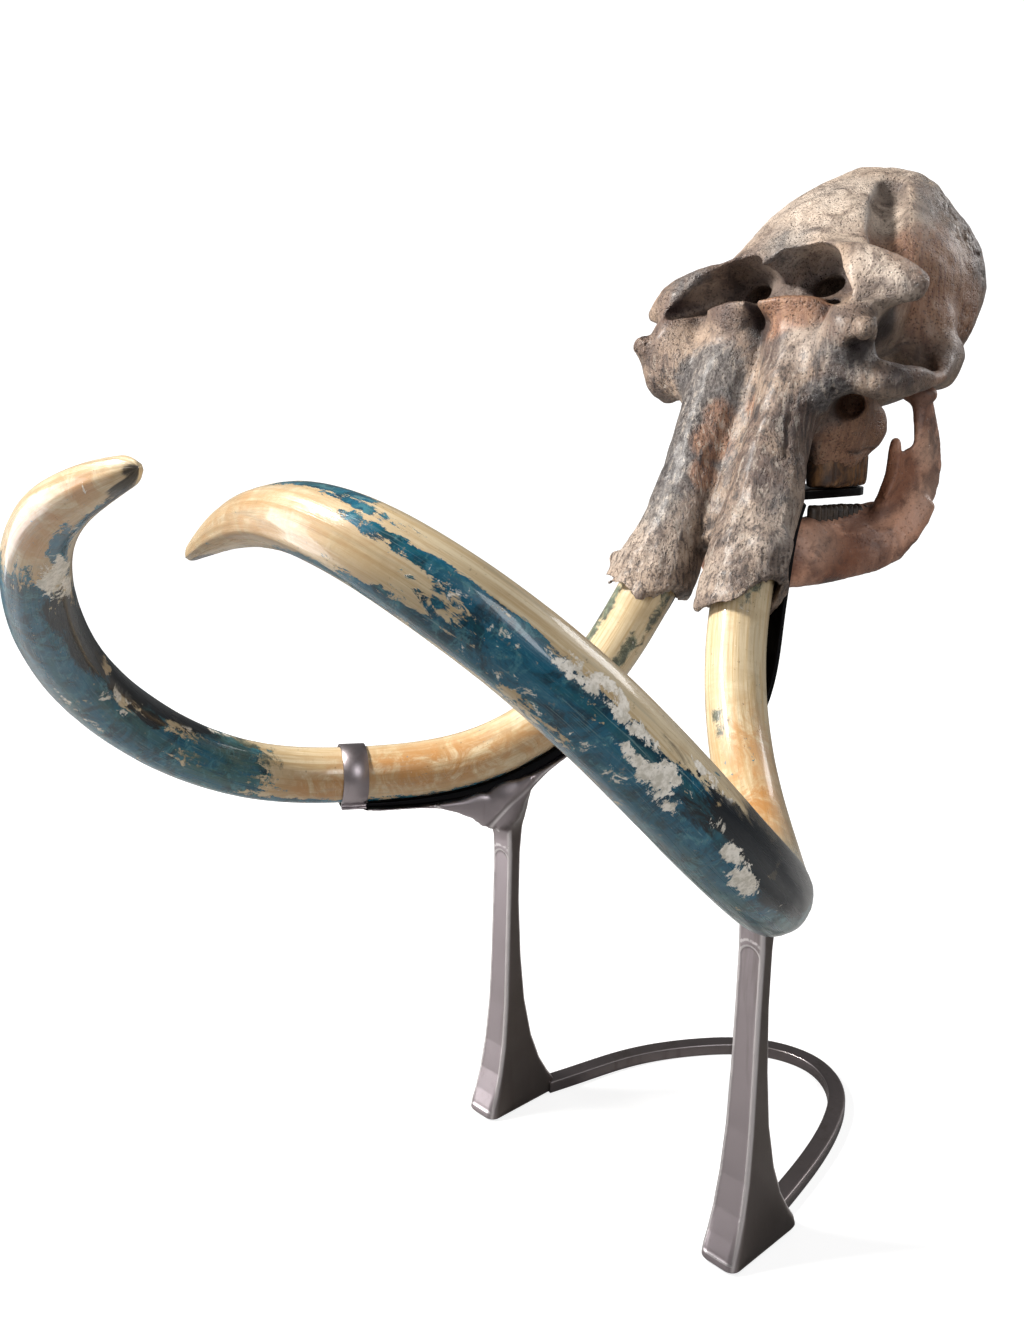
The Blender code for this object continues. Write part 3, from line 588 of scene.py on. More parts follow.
cranium = {
    "cell": 0.0046,
    "coarseCell": 0.009,
    "triangles": 195000,
    "low": (-0.40, 0.09, 1.22),
    "high": (0.40, 1.075, 2.275),
    "seed": 11,
    "top": 2.2513,            # the crown is cut level here, inside the solid
    "sag": 0.019,             # how far the right side has sunk over the nose
    "hollowReach": 0.035,     # how far out from the surface to look for open air
    "relief": [(0.0036, 9.0, 2), (0.0022, 30.0, 2)],
    "spongeRelief": (0.009, 62.0),      # depth and scale
    "fibreRelief": (0.0019, 60.0),
    "templeFibres": 0.25,     # how fibrous the temples look beside the sheaths
    # box, scale, depth and layers of uneven wear
    "rimWear": ((-0.30, 0.08, 1.22), (0.30, 0.36, 1.50), 26.0, 0.0030, 3),
    "noseWear": ((-0.26, 0.34, 1.86), (0.26, 0.56, 2.06), 30.0, 0.0030, 2),
    "rimCut": ((-0.30, 0.09, 1.22), (0.30, 0.40, 1.44), 0.12, 0.011),     # box, slope, raggedness
    # place, radii, turn, blend
    "lumps": [
        ((0, 0.765, 1.962), (0.274, 0.242, 0.221), (18, 0, 0), 0.03),  # braincase
        ((0, 0.880, 2.088), (0.166, 0.143, 0.153), (0, 0, 0), 0.04),  # crown
        ((0.100, 0.825, 2.110), (0.090, 0.126, 0.089), (0, 0, 0), 0.04),  # shoulder of the crown
        ((0.135, 0.863, 1.965), (0.142, 0.142, 0.192), (0, 0, 0), 0.04),  # rear lobe
        ((0.208, 0.825, 1.890), (0.060, 0.068, 0.070), (0, 0, 0), 0.03),  # lobe above the jaw hinge
        ((0.100, 0.600, 1.850), (0.125, 0.110, 0.060), (0, 0, 0), 0.03),  # floor of the nose
        ((0.200, 0.560, 1.915), (0.060, 0.090, 0.080), (0, 0, 0), 0.03),  # wall between nose and temple
        ((0.240, 0.735, 1.806), (0.074, 0.064, 0.050), (0, 0, 0), 0.02),  # jaw hinge block
        ((0.220, 0.730, 1.860), (0.070, 0.080, 0.080), (0, 0, 0), 0.03),  # wall above the hinge
        ((0, 0.80, 1.80), (0.20, 0.19, 0.11), (0, 0, 0), 0.03),  # skull base
        ((0.055, 0.980, 1.80), (0.045, 0.055, 0.055), (0, 0, 0), 0.02),  # neck joint knob
        ((0.288, 0.470, 1.930), (0.060, 0.056, 0.046), (0, 22, 0), 0.03),  # plate above the eye
        ((0.128, 0.650, 1.655), (0.056, 0.058, 0.062), (0, 0, 0), 0.03),  # swelling behind the cheek teeth
        ((0.262, 0.735, 1.775), (0.040, 0.045, 0.045), (0, 0, 0), 0.03),  # lower corner of the hinge block
        ((0.252, 0.392, 1.842), (0.040, 0.034, 0.030), (0, 20, 0), 0.03),  # root of the knob by the eye
    ],
    # points, half widths and depths, side hint, blend
    "limbs": [
        ([(0, 0.465, 1.960), (0, 0.60, 2.040), (0, 0.84, 2.146)],
         [(0.222, 0.050), (0.202, 0.097), (0.186, 0.107)], (1, 0, 0), 0.04),  # forehead
        ([(0.10, 0.485, 1.985), (0.20, 0.467, 1.972), (0.285, 0.464, 1.948), (0.338, 0.480, 1.922)],
         [(0.055, 0.056), (0.056, 0.055), (0.050, 0.050), (0.026, 0.030)], (0, 1, 0), 0.03),  # brow
        ([(0.232, 0.462, 1.945), (0.226, 0.432, 1.865), (0.192, 0.425, 1.785), (0.155, 0.430, 1.715)],
         [(0.043, 0.062), (0.052, 0.064), (0.064, 0.068), (0.044, 0.056)], (1, 0, 0), 0.045),  # cheek
        ([(0.085, 0.470, 1.875), (0.096, 0.410, 1.740), (0.100, 0.337, 1.560), (0.106, 0.276, 1.420),
          (0.119, 0.233, 1.335), (0.138, 0.198, 1.262)],
         [(0.096, 0.068), (0.078, 0.072), (0.067, 0.074), (0.072, 0.079), (0.085, 0.084), (0.112, 0.092)],
         (1, 0, 0), 0.03),  # tusk sheath
        ([(0, 0.485, 1.86), (0, 0.425, 1.68), (0, 0.350, 1.52), (0, 0.290, 1.40)],
         [(0.10, 0.045), (0.085, 0.052), (0.08, 0.045), (0.07, 0.035)], (1, 0, 0), 0.02),  # web between sheaths
        ([(0.12, 0.50, 1.78), (0.12, 0.55, 1.67), (0.118, 0.57, 1.590)],
         [(0.080, 0.105), (0.073, 0.115), (0.047, 0.100)], (1, 0, 0), 0.03),  # tooth-bearing bone
        ([(0.190, 0.435, 1.778), (0.285, 0.455, 1.745), (0.325, 0.545, 1.755), (0.300, 0.660, 1.778),
          (0.255, 0.735, 1.800)],
         [(0.044, 0.044), (0.032, 0.040), (0.022, 0.033),
          (0.028, 0.036), (0.045, 0.050)], (1, 0, 0), 0.03),  # cheek arch
        ([(0.10, 0.76, 1.76), (0.09, 0.69, 1.68), (0.09, 0.645, 1.625)],
         [(0.05, 0.05), (0.03, 0.045), (0.028, 0.035)], (1, 0, 0), 0.025),  # wing behind the teeth
        ([(0.04, 0.455, 2.010), (0.018, 0.425, 1.985), (0.006, 0.412, 1.955)],
         [(0.030, 0.024), (0.022, 0.020), (0.010, 0.012)], (1, 0, 0), 0.015),  # nose tip
    ],
    "scoops": [
        ((0.095, 0.565, 1.945), (0.038, 0.06, 0.030), (0, 0, 0), 0.02),  # inner nose
        ((0.338, 0.492, 1.838), (0.090, 0.080, 0.062), (0, 12, 0), 0.02),  # eye socket
        ((0.345, 0.590, 1.860), (0.104, 0.098, 0.098), (0, 0, 0), 0.03),  # temple
        ((0.262, 0.590, 1.750), (0.048, 0.085, 0.10), (0, 0, 0), 0.02),  # inside the arch
    ],
    "channels": [
        ([(0.028, 0.425, 1.958), (0.095, 0.430, 1.975), (0.165, 0.420, 1.950), (0.218, 0.380, 1.915)],
         [(0.102, 0.042), (0.120, 0.062), (0.072, 0.040), (0.040, 0.018)], (0, 1, 0), 0.012),  # nose
        ([(0.118, 0.735, 2.178), (0.158, 0.655, 2.115), (0.208, 0.585, 2.030), (0.262, 0.560, 1.960)],
         [(0.022, 0.016), (0.031, 0.032),
          (0.034, 0.034), (0.034, 0.028)], (0.75, 0.66, 0), 0.038),  # dip behind the brow
        ([(0.262, 0.340, 1.678), (0.205, 0.450, 1.686), (0.155, 0.560, 1.700)],
         [(0.034, 0.030), (0.030, 0.027), (0.026, 0.026)], (1, 0, 0), 0.014),  # hole below the eye
        ([(0.152, 0.165, 1.20), (0.127, 0.216, 1.31), (0.108, 0.276, 1.41)],
         [(0.098, 0.084), (0.076, 0.073), (0.064, 0.064)], (1, 0, 0), 0.006),  # tusk socket
        ([(0, 0.160, 1.30), (0, 0.222, 1.50), (0, 0.318, 1.70), (0.002, 0.340, 1.86)],
         [(0.018, 0.03), (0.026, 0.044), (0.024, 0.046), (0.020, 0.044)], (1, 0, 0), 0.018),  # groove
        ([(0, 1.15, 1.81), (0, 0.95, 1.815), (0, 0.85, 1.83)],
         [(0.045, 0.04), (0.038, 0.036), (0.02, 0.02)], (1, 0, 0), 0.01),  # spinal hole
        ([(0, 0.84, 1.66), (0, 0.72, 1.72), (0, 0.62, 1.78)],
         [(0.06, 0.07), (0.05, 0.06), (0.03, 0.03)], (1, 0, 0), 0.02),  # throat
    ],
    # what stands out or is broken on one side only, pressed on last
    "late": [
        ((0.284, 0.374, 1.806), (0.034, 0.034, 0.015), (0, 20, 0), 0.012, True),  # notch under the left knob
        ((0.296, 0.352, 1.842), (0.027, 0.026, 0.024), (0, 20, 0), 0.006, False),  # knob by the left eye
        ((-0.287, 0.362, 1.836), (0.028, 0.022, 0.023), (0, -20, 0), 0.008, False),  # knob by the right eye
        ((-0.262, 0.402, 1.785), (0.046, 0.046, 0.062), (0, 0, 0), 0.04, False),  # fuller right cheek
        ((0.002, 0.405, 1.900), (0.013, 0.050, 0.034), (0, 0, 0), 0.014, True),  # notch between the sheath tops
        ((0.142, 0.302, 1.480), (0.050, 0.052, 0.120), (-24, 0, 0), 0.02, False),  # thicker left sheath wall
        ((0.165, 0.238, 1.395), (0.052, 0.050, 0.060), (-24, 0, 0), 0.02, False),  # its flare
        ((-0.180, 0.205, 1.345), (0.062, 0.022, 0.030), (20, 10, 0), 0.02, False),  # right rim turned outwards
        ((0.085, 0.430, 1.893), (0.056, 0.032, 0.026), (0, 4, 0), 0.03, False),  # top of the left sheath
        ((-0.075, 0.410, 1.886), (0.050, 0.030, 0.026), (0, -4, 0), 0.03, False),  # top of the right sheath
    ],
    # the broken rims of both sheaths: height at places across, read at the front
    "rim": [
        (-0.26, 1.335), (-0.235, 1.326), (-0.17, 1.318), (-0.12, 1.302), (-0.08, 1.284), (-0.045, 1.300),
        (-0.005, 1.345), (0.02, 1.335), (0.05, 1.285), (0.085, 1.258), (0.12, 1.260), (0.155, 1.285),
        (0.19, 1.335), (0.225, 1.380), (0.26, 1.42)],
    # lines along which the bone has cracked, half width, depth
    "cracks": [
        ([(0.155, 0.345, 1.82), (0.150, 0.330, 1.70),
          (0.158, 0.300, 1.56), (0.160, 0.270, 1.44)], 0.0042, 0.0050),
        ([(0.120, 0.330, 1.84), (0.112, 0.300, 1.74), (0.118, 0.280, 1.66)], 0.0030, 0.0030),
        ([(-0.060, 0.330, 1.80), (-0.095, 0.300, 1.66),
          (-0.110, 0.255, 1.52), (-0.145, 0.200, 1.38)], 0.0028, 0.0028),
        ([(0.002, 0.41, 1.90), (0.0, 0.37, 1.82), (-0.004, 0.345, 1.72), (-0.006, 0.30, 1.62)], 0.0060, 0.0060),
        ([(0.168, 0.47, 1.597), (0.168, 0.56, 1.592), (0.164, 0.66, 1.600)], 0.0035, 0.0040),
        ([(0.04, 0.55, 2.105), (0.10, 0.62, 2.130), (0.13, 0.72, 2.160)], 0.0030, 0.0022),
        ([(0.285, 0.60, 1.735), (0.300, 0.66, 1.770), (0.270, 0.73, 1.795)], 0.0030, 0.0025),
        ([(0.19, 0.80, 2.06), (0.25, 0.78, 1.97), (0.27, 0.80, 1.88)], 0.0030, 0.0025),
    ],
    # where the surface is spongy: place, radius, strength
    "spongy": [
        ((0.05, 0.93, 2.235), 0.10, 1.0), ((0.13, 0.89, 2.19), 0.08, 1.0), ((0.19, 0.88, 2.13), 0.07, 0.9),
        ((0.23, 0.87, 2.06), 0.07, 0.8), ((-0.12, 0.90, 2.20), 0.10, 0.9), ((0.00, 0.98, 2.20), 0.14, 0.9),
        ((0.286, 0.360, 1.838), 0.030, 1.0), ((-0.286, 0.360, 1.838), 0.030, 1.0),
        ((0.345, 0.478, 1.918), 0.035, 0.9), ((0.13, 0.20, 1.30), 0.06, 0.7), ((-0.13, 0.20, 1.31), 0.07, 0.6),
        ((0.20, 0.24, 1.35), 0.05, 0.8), ((0.25, 0.86, 1.86), 0.07, 0.6), ((0.20, 0.40, 1.70), 0.05, 0.6),
        ((0, 1.02, 1.95), 0.16, 0.5),
    ],
    "rust": [
        ((0.06, 0.42, 1.890), 0.055, 1.1), ((0.11, 0.42, 1.890), 0.045, 1.0),
        ((-0.035, 0.31, 1.62), 0.042, 1.1), ((-0.03, 0.28, 1.55), 0.034, 0.9),
        ((0.15, 0.43, 1.895), 0.035, 0.8), ((0.02, 0.36, 1.70), 0.03, 0.8), ((-0.03, 0.33, 1.68), 0.040, 0.9),
        ((0.30, 0.56, 2.00), 0.11, 0.9), ((0.27, 0.70, 1.97), 0.13, 0.8), ((0.22, 0.60, 2.05), 0.08, 0.7),
        ((0.26, 0.82, 1.92), 0.08, 0.6), ((0.31, 0.58, 1.76), 0.08, 0.5), ((0.15, 0.60, 1.65), 0.11, 1.0),
        ((0.16, 0.50, 1.60), 0.06, 0.8), ((-0.28, 0.70, 1.97), 0.16, 0.7), ((0, 0.90, 1.86), 0.12, 0.4),
    ],
    # grey, weathered bone
    "slate": [
        ((-0.09, 0.35, 1.74), 0.09, 1.0), ((-0.10, 0.29, 1.60), 0.09, 1.0), ((-0.12, 0.24, 1.48), 0.07, 0.8),
        ((0.21, 0.43, 1.80), 0.07, 0.9), ((0.20, 0.40, 1.72), 0.05, 0.8), ((0.16, 0.28, 1.50), 0.04, 0.5),
        ((-0.20, 0.40, 2.00), 0.08, 0.5), ((0.0, 0.66, 2.13), 0.08, 0.4), ((0.02, 0.48, 2.03), 0.07, 0.6),
        ((0.25, 0.62, 2.05), 0.06, 0.5), ((0.27, 0.86, 1.98), 0.05, 0.5),
    ],
    # painted shade: darker in the nose, the eye socket, under the knobs, the dip behind the brow and other
    # recesses
    "paintedShade": [
        ((0.01, 0.40, 1.86), 0.040, 0.9), ((0.00, 0.31, 1.66), 0.030, 0.7), ((0.16, 0.47, 1.70), 0.06, 0.6),
        ((0.27, 0.385, 1.80), 0.030, 0.9), ((0.10, 0.53, 1.945), 0.095, 0.6),
        ((-0.10, 0.53, 1.945), 0.095, 0.5), ((0.27, 0.53, 1.84), 0.075, 0.95), ((0.24, 0.56, 2.00), 0.06, 0.7),
        ((0.30, 0.47, 1.74), 0.05, 0.6), ((0.15, 0.67, 2.13), 0.035, 0.8), ((0.13, 0.72, 2.16), 0.025, 0.7),
        ((0.20, 0.60, 2.05), 0.035, 0.6), ((0.32, 0.54, 1.755), 0.05, 0.6), ((0.24, 0.78, 1.78), 0.05, 0.6),
        ((0.10, 0.205, 1.292), 0.018, 0.9), ((0.16, 0.68, 2.10), 0.05, 0.4),
    ],
    # pale bone; the spot over the brow is also a painted highlight
    "pale": [
        ((0.05, 0.62, 2.12), 0.17, 0.9), ((0.29, 0.45, 1.965), 0.075, 1.1), ((0.14, 0.36, 1.83), 0.05, 0.6),
        ((0.16, 0.24, 1.42), 0.08, 0.6), ((0.10, 0.20, 1.32), 0.07, 0.7), ((-0.14, 0.22, 1.38), 0.10, 0.6),
        ((0.12, 0.84, 2.19), 0.10, 0.7), ((-0.10, 0.70, 2.15), 0.18, 0.8), ((0.15, 0.51, 2.01), 0.05, 0.8),
    ],
}


def onSheaths(points, top, fade):
    return np.clip((top - points[:, 2]) * fade, 0, 1) * np.clip((0.50 - points[:, 1]) * 8, 0, 1)


def makeCranium(finish):
    cell = cranium["cell"]
    clay = Clay(True, cranium["low"], cranium["high"], cell)
    for centre, radii, turn, blend in cranium["lumps"]:
        clay.lump(centre, radii, turn, blend)
    for points, widths, hint, blend in cranium["limbs"]:
        clay.limb(points, widths, hint, blend)
    for centre, radii, turn, blend in cranium["scoops"]:
        clay.lump(centre, radii, turn, blend, scoop=True)
    for points, widths, hint, blend in cranium["channels"]:
        clay.limb(points, widths, hint, blend, scoop=True)
    clay.unfold()
    for centre, radii, turn, blend, scoop in cranium["late"]:
        clay.lump(centre, radii, turn, blend, scoop)
    grit = Grit(cranium["seed"])
    clay.fray(grit, *cranium["rimWear"])
    clay.trim(grit, cranium["rim"], *cranium["rimCut"])
    clay.fray(grit, *cranium["noseWear"])
    points, faces = clay.skin()
    piece = toMesh("craniumBone", points, faces, finish)
    soften(piece, 1)
    points, normals = pointsOf(piece), normalsOf(piece)
    spongy = softSpots(points, cranium["spongy"])
    swell = relief(points, grit, cranium["relief"])
    depth, scale = cranium["spongeRelief"]
    swell -= np.maximum(grit.layered(points, scale, 2) - 0.15, 0) * depth * np.clip(spongy, 0, 1)
    # stretched out along the sheaths, so that their relief runs lengthwise
    fibres = points @ np.array([[1, 0, 0], [0, 0.909, -0.416], [0, 0.12, 0.26]]).T
    lower = onSheaths(points, 1.86, 6)
    depth, scale = cranium["fibreRelief"]
    swell += depth * grit.layered(fibres, scale, 2) * lower
    swell -= crackedAt(points, cranium["cracks"], grit, True)
    points = points + normals * swell[:, None]
    # the skull has sagged a little on its right side, over the nose
    sag = np.clip((-points[:, 0] - 0.02) / 0.13, 0, 1) * np.clip((0.66 - points[:, 1]) / 0.14, 0, 1)
    points[:, 2] -= cranium["sag"] * sag * np.clip((points[:, 2] - 1.885) / 0.07, 0, 1)
    points[:, 2] = np.minimum(points[:, 2], cranium["top"])
    movePoints(piece, points)
    thinOut(piece, cranium["triangles"])
    points, normals = pointsOf(piece), normalsOf(piece)
    paintHollowShade(piece, clay, points, normals, cranium["hollowReach"])
    for name in ("rust", "paintedShade", "pale", "spongy", "slate"):
        paint(piece, name, softSpots(points, cranium[name]))
    lower = onSheaths(points, 1.90, 8)
    temple = np.clip((np.abs(points[:, 0]) - 0.19) * 12, 0, 1) * np.clip((points[:, 1] - 0.55) * 10, 0, 1)
    paint(piece, "fibrous", np.maximum(lower, temple * cranium["templeFibres"]))
    paint(piece, "cracked", crackedAt(points, cranium["cracks"], grit, False))
    hand(piece, "bone", "cranium")


# lower jaw

mandible = {
    "cell": 0.0038,
    "coarseCell": 0.008,
    "triangles": 120000,
    "low": (-0.31, 0.35, 1.28),
    "high": (0.31, 0.81, 1.77),
    "seed": 23,
    "hollowReach": 0.02,
    "relief": [(0.0025, 11.0, 2), (0.0007, 60.0, 3)],
    "limbs": [
        ([(-0.04, 0.415, 1.356), (0.09, 0.430, 1.368), (0.145, 0.540, 1.386), (0.205, 0.650, 1.420),
          (0.243, 0.705, 1.490)],
         [(0.045, 0.060), (0.045, 0.076), (0.046, 0.080),
          (0.040, 0.080), (0.022, 0.050)], (0, 1, 0), 0.02),  # body
        ([(0.215, 0.660, 1.440), (0.250, 0.708, 1.530), (0.262, 0.700, 1.620), (0.256, 0.678, 1.705)],
         [(0.028, 0.080), (0.021, 0.078), (0.017, 0.056), (0.020, 0.028)], (1, 0, 0), 0.03),  # rising branch
        ([(0.205, 0.615, 1.440), (0.230, 0.616, 1.535), (0.240, 0.604, 1.612)],
         [(0.026, 0.030), (0.018, 0.024), (0.012, 0.014)], (1, 0, 0), 0.018),  # front spur
        ([(0.222, 0.655, 1.470), (0.244, 0.655, 1.545), (0.250, 0.650, 1.590)],
         [(0.014, 0.040), (0.010, 0.040), (0.008, 0.028)], (1, 0, 0), 0.015),  # web behind the spur
        ([(0.232, 0.592, 1.500), (0.247, 0.604, 1.560), (0.250, 0.600, 1.606)],
         [(0.009, 0.009), (0.007, 0.008), (0.005, 0.006)], (1, 0, 0), 0.008),  # rib on the spur
    ],
    "lumps": [
        ((0.250, 0.670, 1.722), (0.044, 0.027, 0.025), (0, 10, 0), 0.012),  # hinge knob
    ],
    # nerve holes and a hollow above the angle
    "scoops": [
        ((0.168, 0.444, 1.396), (0.009, 0.014, 0.008), (0, 0, 0), 0.004),
        ((0.148, 0.412, 1.394), (0.007, 0.012, 0.007), (0, 0, 0), 0.004),
        ((0.292, 0.640, 1.560), (0.030, 0.035, 0.060), (0, 0, 0), 0.02),
    ],
    "cracks": [
        ([(0.125, 0.385, 1.340), (0.165, 0.430, 1.330),
          (0.205, 0.500, 1.335), (0.235, 0.60, 1.36)], 0.0030, 0.0022),
        ([(0.175, 0.47, 1.42), (0.215, 0.56, 1.41), (0.245, 0.64, 1.43)], 0.0020, 0.0012),
    ],
    "rust": [((0.22, 0.61, 1.55), 0.07, 1.0), ((0.20, 0.50, 1.36), 0.08, 0.7), ((0.10, 0.40, 1.36), 0.06, 0.7),
             ((-0.22, 0.61, 1.5), 0.10, 0.8)],
    # painted shade: darker on the underside, at the back of the rising branch and by the hinge
    "paintedShade": [((0.20, 0.70, 1.33), 0.06, 0.8), ((0.26, 0.72, 1.62), 0.06, 0.6), ((0.09, 0.39, 1.30), 0.04, 0.7),
             ((0.15, 0.50, 1.30), 0.04, 0.7), ((0.26, 0.67, 1.72), 0.04, 0.5), ((-0.2, 0.65, 1.35), 0.08, 0.6)],
    "pale": [((0.24, 0.72, 1.49), 0.06, 0.5), ((0.29, 0.69, 1.60), 0.04, 0.6), ((0.18, 0.45, 1.40), 0.05, 0.4)],
}


def makeMandible(finish):
    cell = mandible["cell"]
    clay = Clay(True, mandible["low"], mandible["high"], cell)
    for points, widths, hint, blend in mandible["limbs"]:
        clay.limb(points, widths, hint, blend)
    for centre, radii, turn, blend in mandible["lumps"]:
        clay.lump(centre, radii, turn, blend)
    for centre, radii, turn, blend in mandible["scoops"]:
        clay.lump(centre, radii, turn, blend, scoop=True)
    clay.unfold()
    points, faces = clay.skin()
    piece = toMesh("mandibleBone", points, faces, finish)
    soften(piece, 2)
    points, normals = pointsOf(piece), normalsOf(piece)
    grit = Grit(mandible["seed"])
    swell = relief(points, grit, mandible["relief"])
    swell -= crackedAt(points, mandible["cracks"], grit, True)
    movePoints(piece, points + normals * swell[:, None])
    thinOut(piece, mandible["triangles"])
    points, normals = pointsOf(piece), normalsOf(piece)
    paintHollowShade(piece, clay, points, normals, mandible["hollowReach"])
    for name in ("rust", "paintedShade", "pale"):
        paint(piece, name, softSpots(points, mandible[name]))
    paint(piece, "cracked", crackedAt(points, mandible["cracks"], grit, False))
    hand(piece, "jaw_bone", "mandible")


# cheek teeth: rows of upright plates pressed together

teeth = {
    "upper": {"route": [(0.120, 0.476), (0.118, 0.57), (0.120, 0.664)], "span": (1.5145, 1.602),
              "half": 0.044, "plates": 11},
    "lower": {"route": [(0.112, 0.474), (0.135, 0.56), (0.165, 0.646)], "span": (1.400, 1.478),
              "half": 0.030, "plates": 12},
    "ridge": {"upper": 0.0016, "lower": 0.0042},    # how deep the furrows between the plates are
    "fullness": 0.36,         # 1 is round, 0 square
    "steps": 170,
    "sides": 72,
    "coarse": (60, 32),       # steps and sides of the quick version
    "seed": 41,
    "relief": [(0.0012, 55.0, 3)],
    "inset": 0.0008,
}


def makeMolar(jaw, side, finish):
    sign = 1 if side == "left" else -1
    tooth = teeth[jaw]
    bottom, top = tooth["span"]
    steps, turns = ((teeth["steps"], teeth["sides"]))
    path = smoothCurve([(sign * x, y, (bottom + top) / 2) for x, y in tooth["route"]], steps)
    along = headings(path)
    shares = np.linspace(0, 1, steps)
    grit = Grit(teeth["seed"] + len(jaw + side))
    ends = np.sqrt(np.clip(1 - np.abs(2 * shares - 1) ** 7, 0.03, 1))
    ends = ends * (0.72 + 0.28 * np.sin(pi * shares) ** 0.5)
    furrow = np.cos(2 * pi * tooth["plates"] * shares)
    rings = []
    for i in range(steps):
        angle = 2 * pi * np.arange(turns) / turns
        c, s = squared(np.cos(angle), teeth["fullness"]), squared(np.sin(angle), teeth["fullness"])
        acrossWay = np.array([-along[i][1], along[i][0], 0.0])
        wide = (tooth["half"] * ends[i] + teeth["ridge"][jaw] * (furrow[i] - 1) * 0.5) * c
        tall = (top - bottom) / 2 * (0.93 + 0.07 * ends[i]) + teeth["ridge"][jaw] * (furrow[i] - 1) * 0.5
        rings.append(path[i] + wide[:, None] * acrossWay + (tall * s)[:, None] * np.array([0, 0, 1.0]))
    points = np.array(rings)
    wobble = relief(points.reshape(-1, 3), grit, teeth["relief"]) - teeth["inset"]
    middle = path[:, None]
    points = middle + (points - middle) * (1 + wobble.reshape(steps, turns, 1) / 0.03)
    piece = loftMesh("molar" + jaw.capitalize() + side.capitalize(), points, finish)
    ridge = np.repeat(0.5 - 0.5 * furrow, turns)
    paint(piece, "furrow", np.concatenate([ridge, [1, 1]]))
    hand(piece, "enamel", jaw + "_molar_" + side)


# tusks

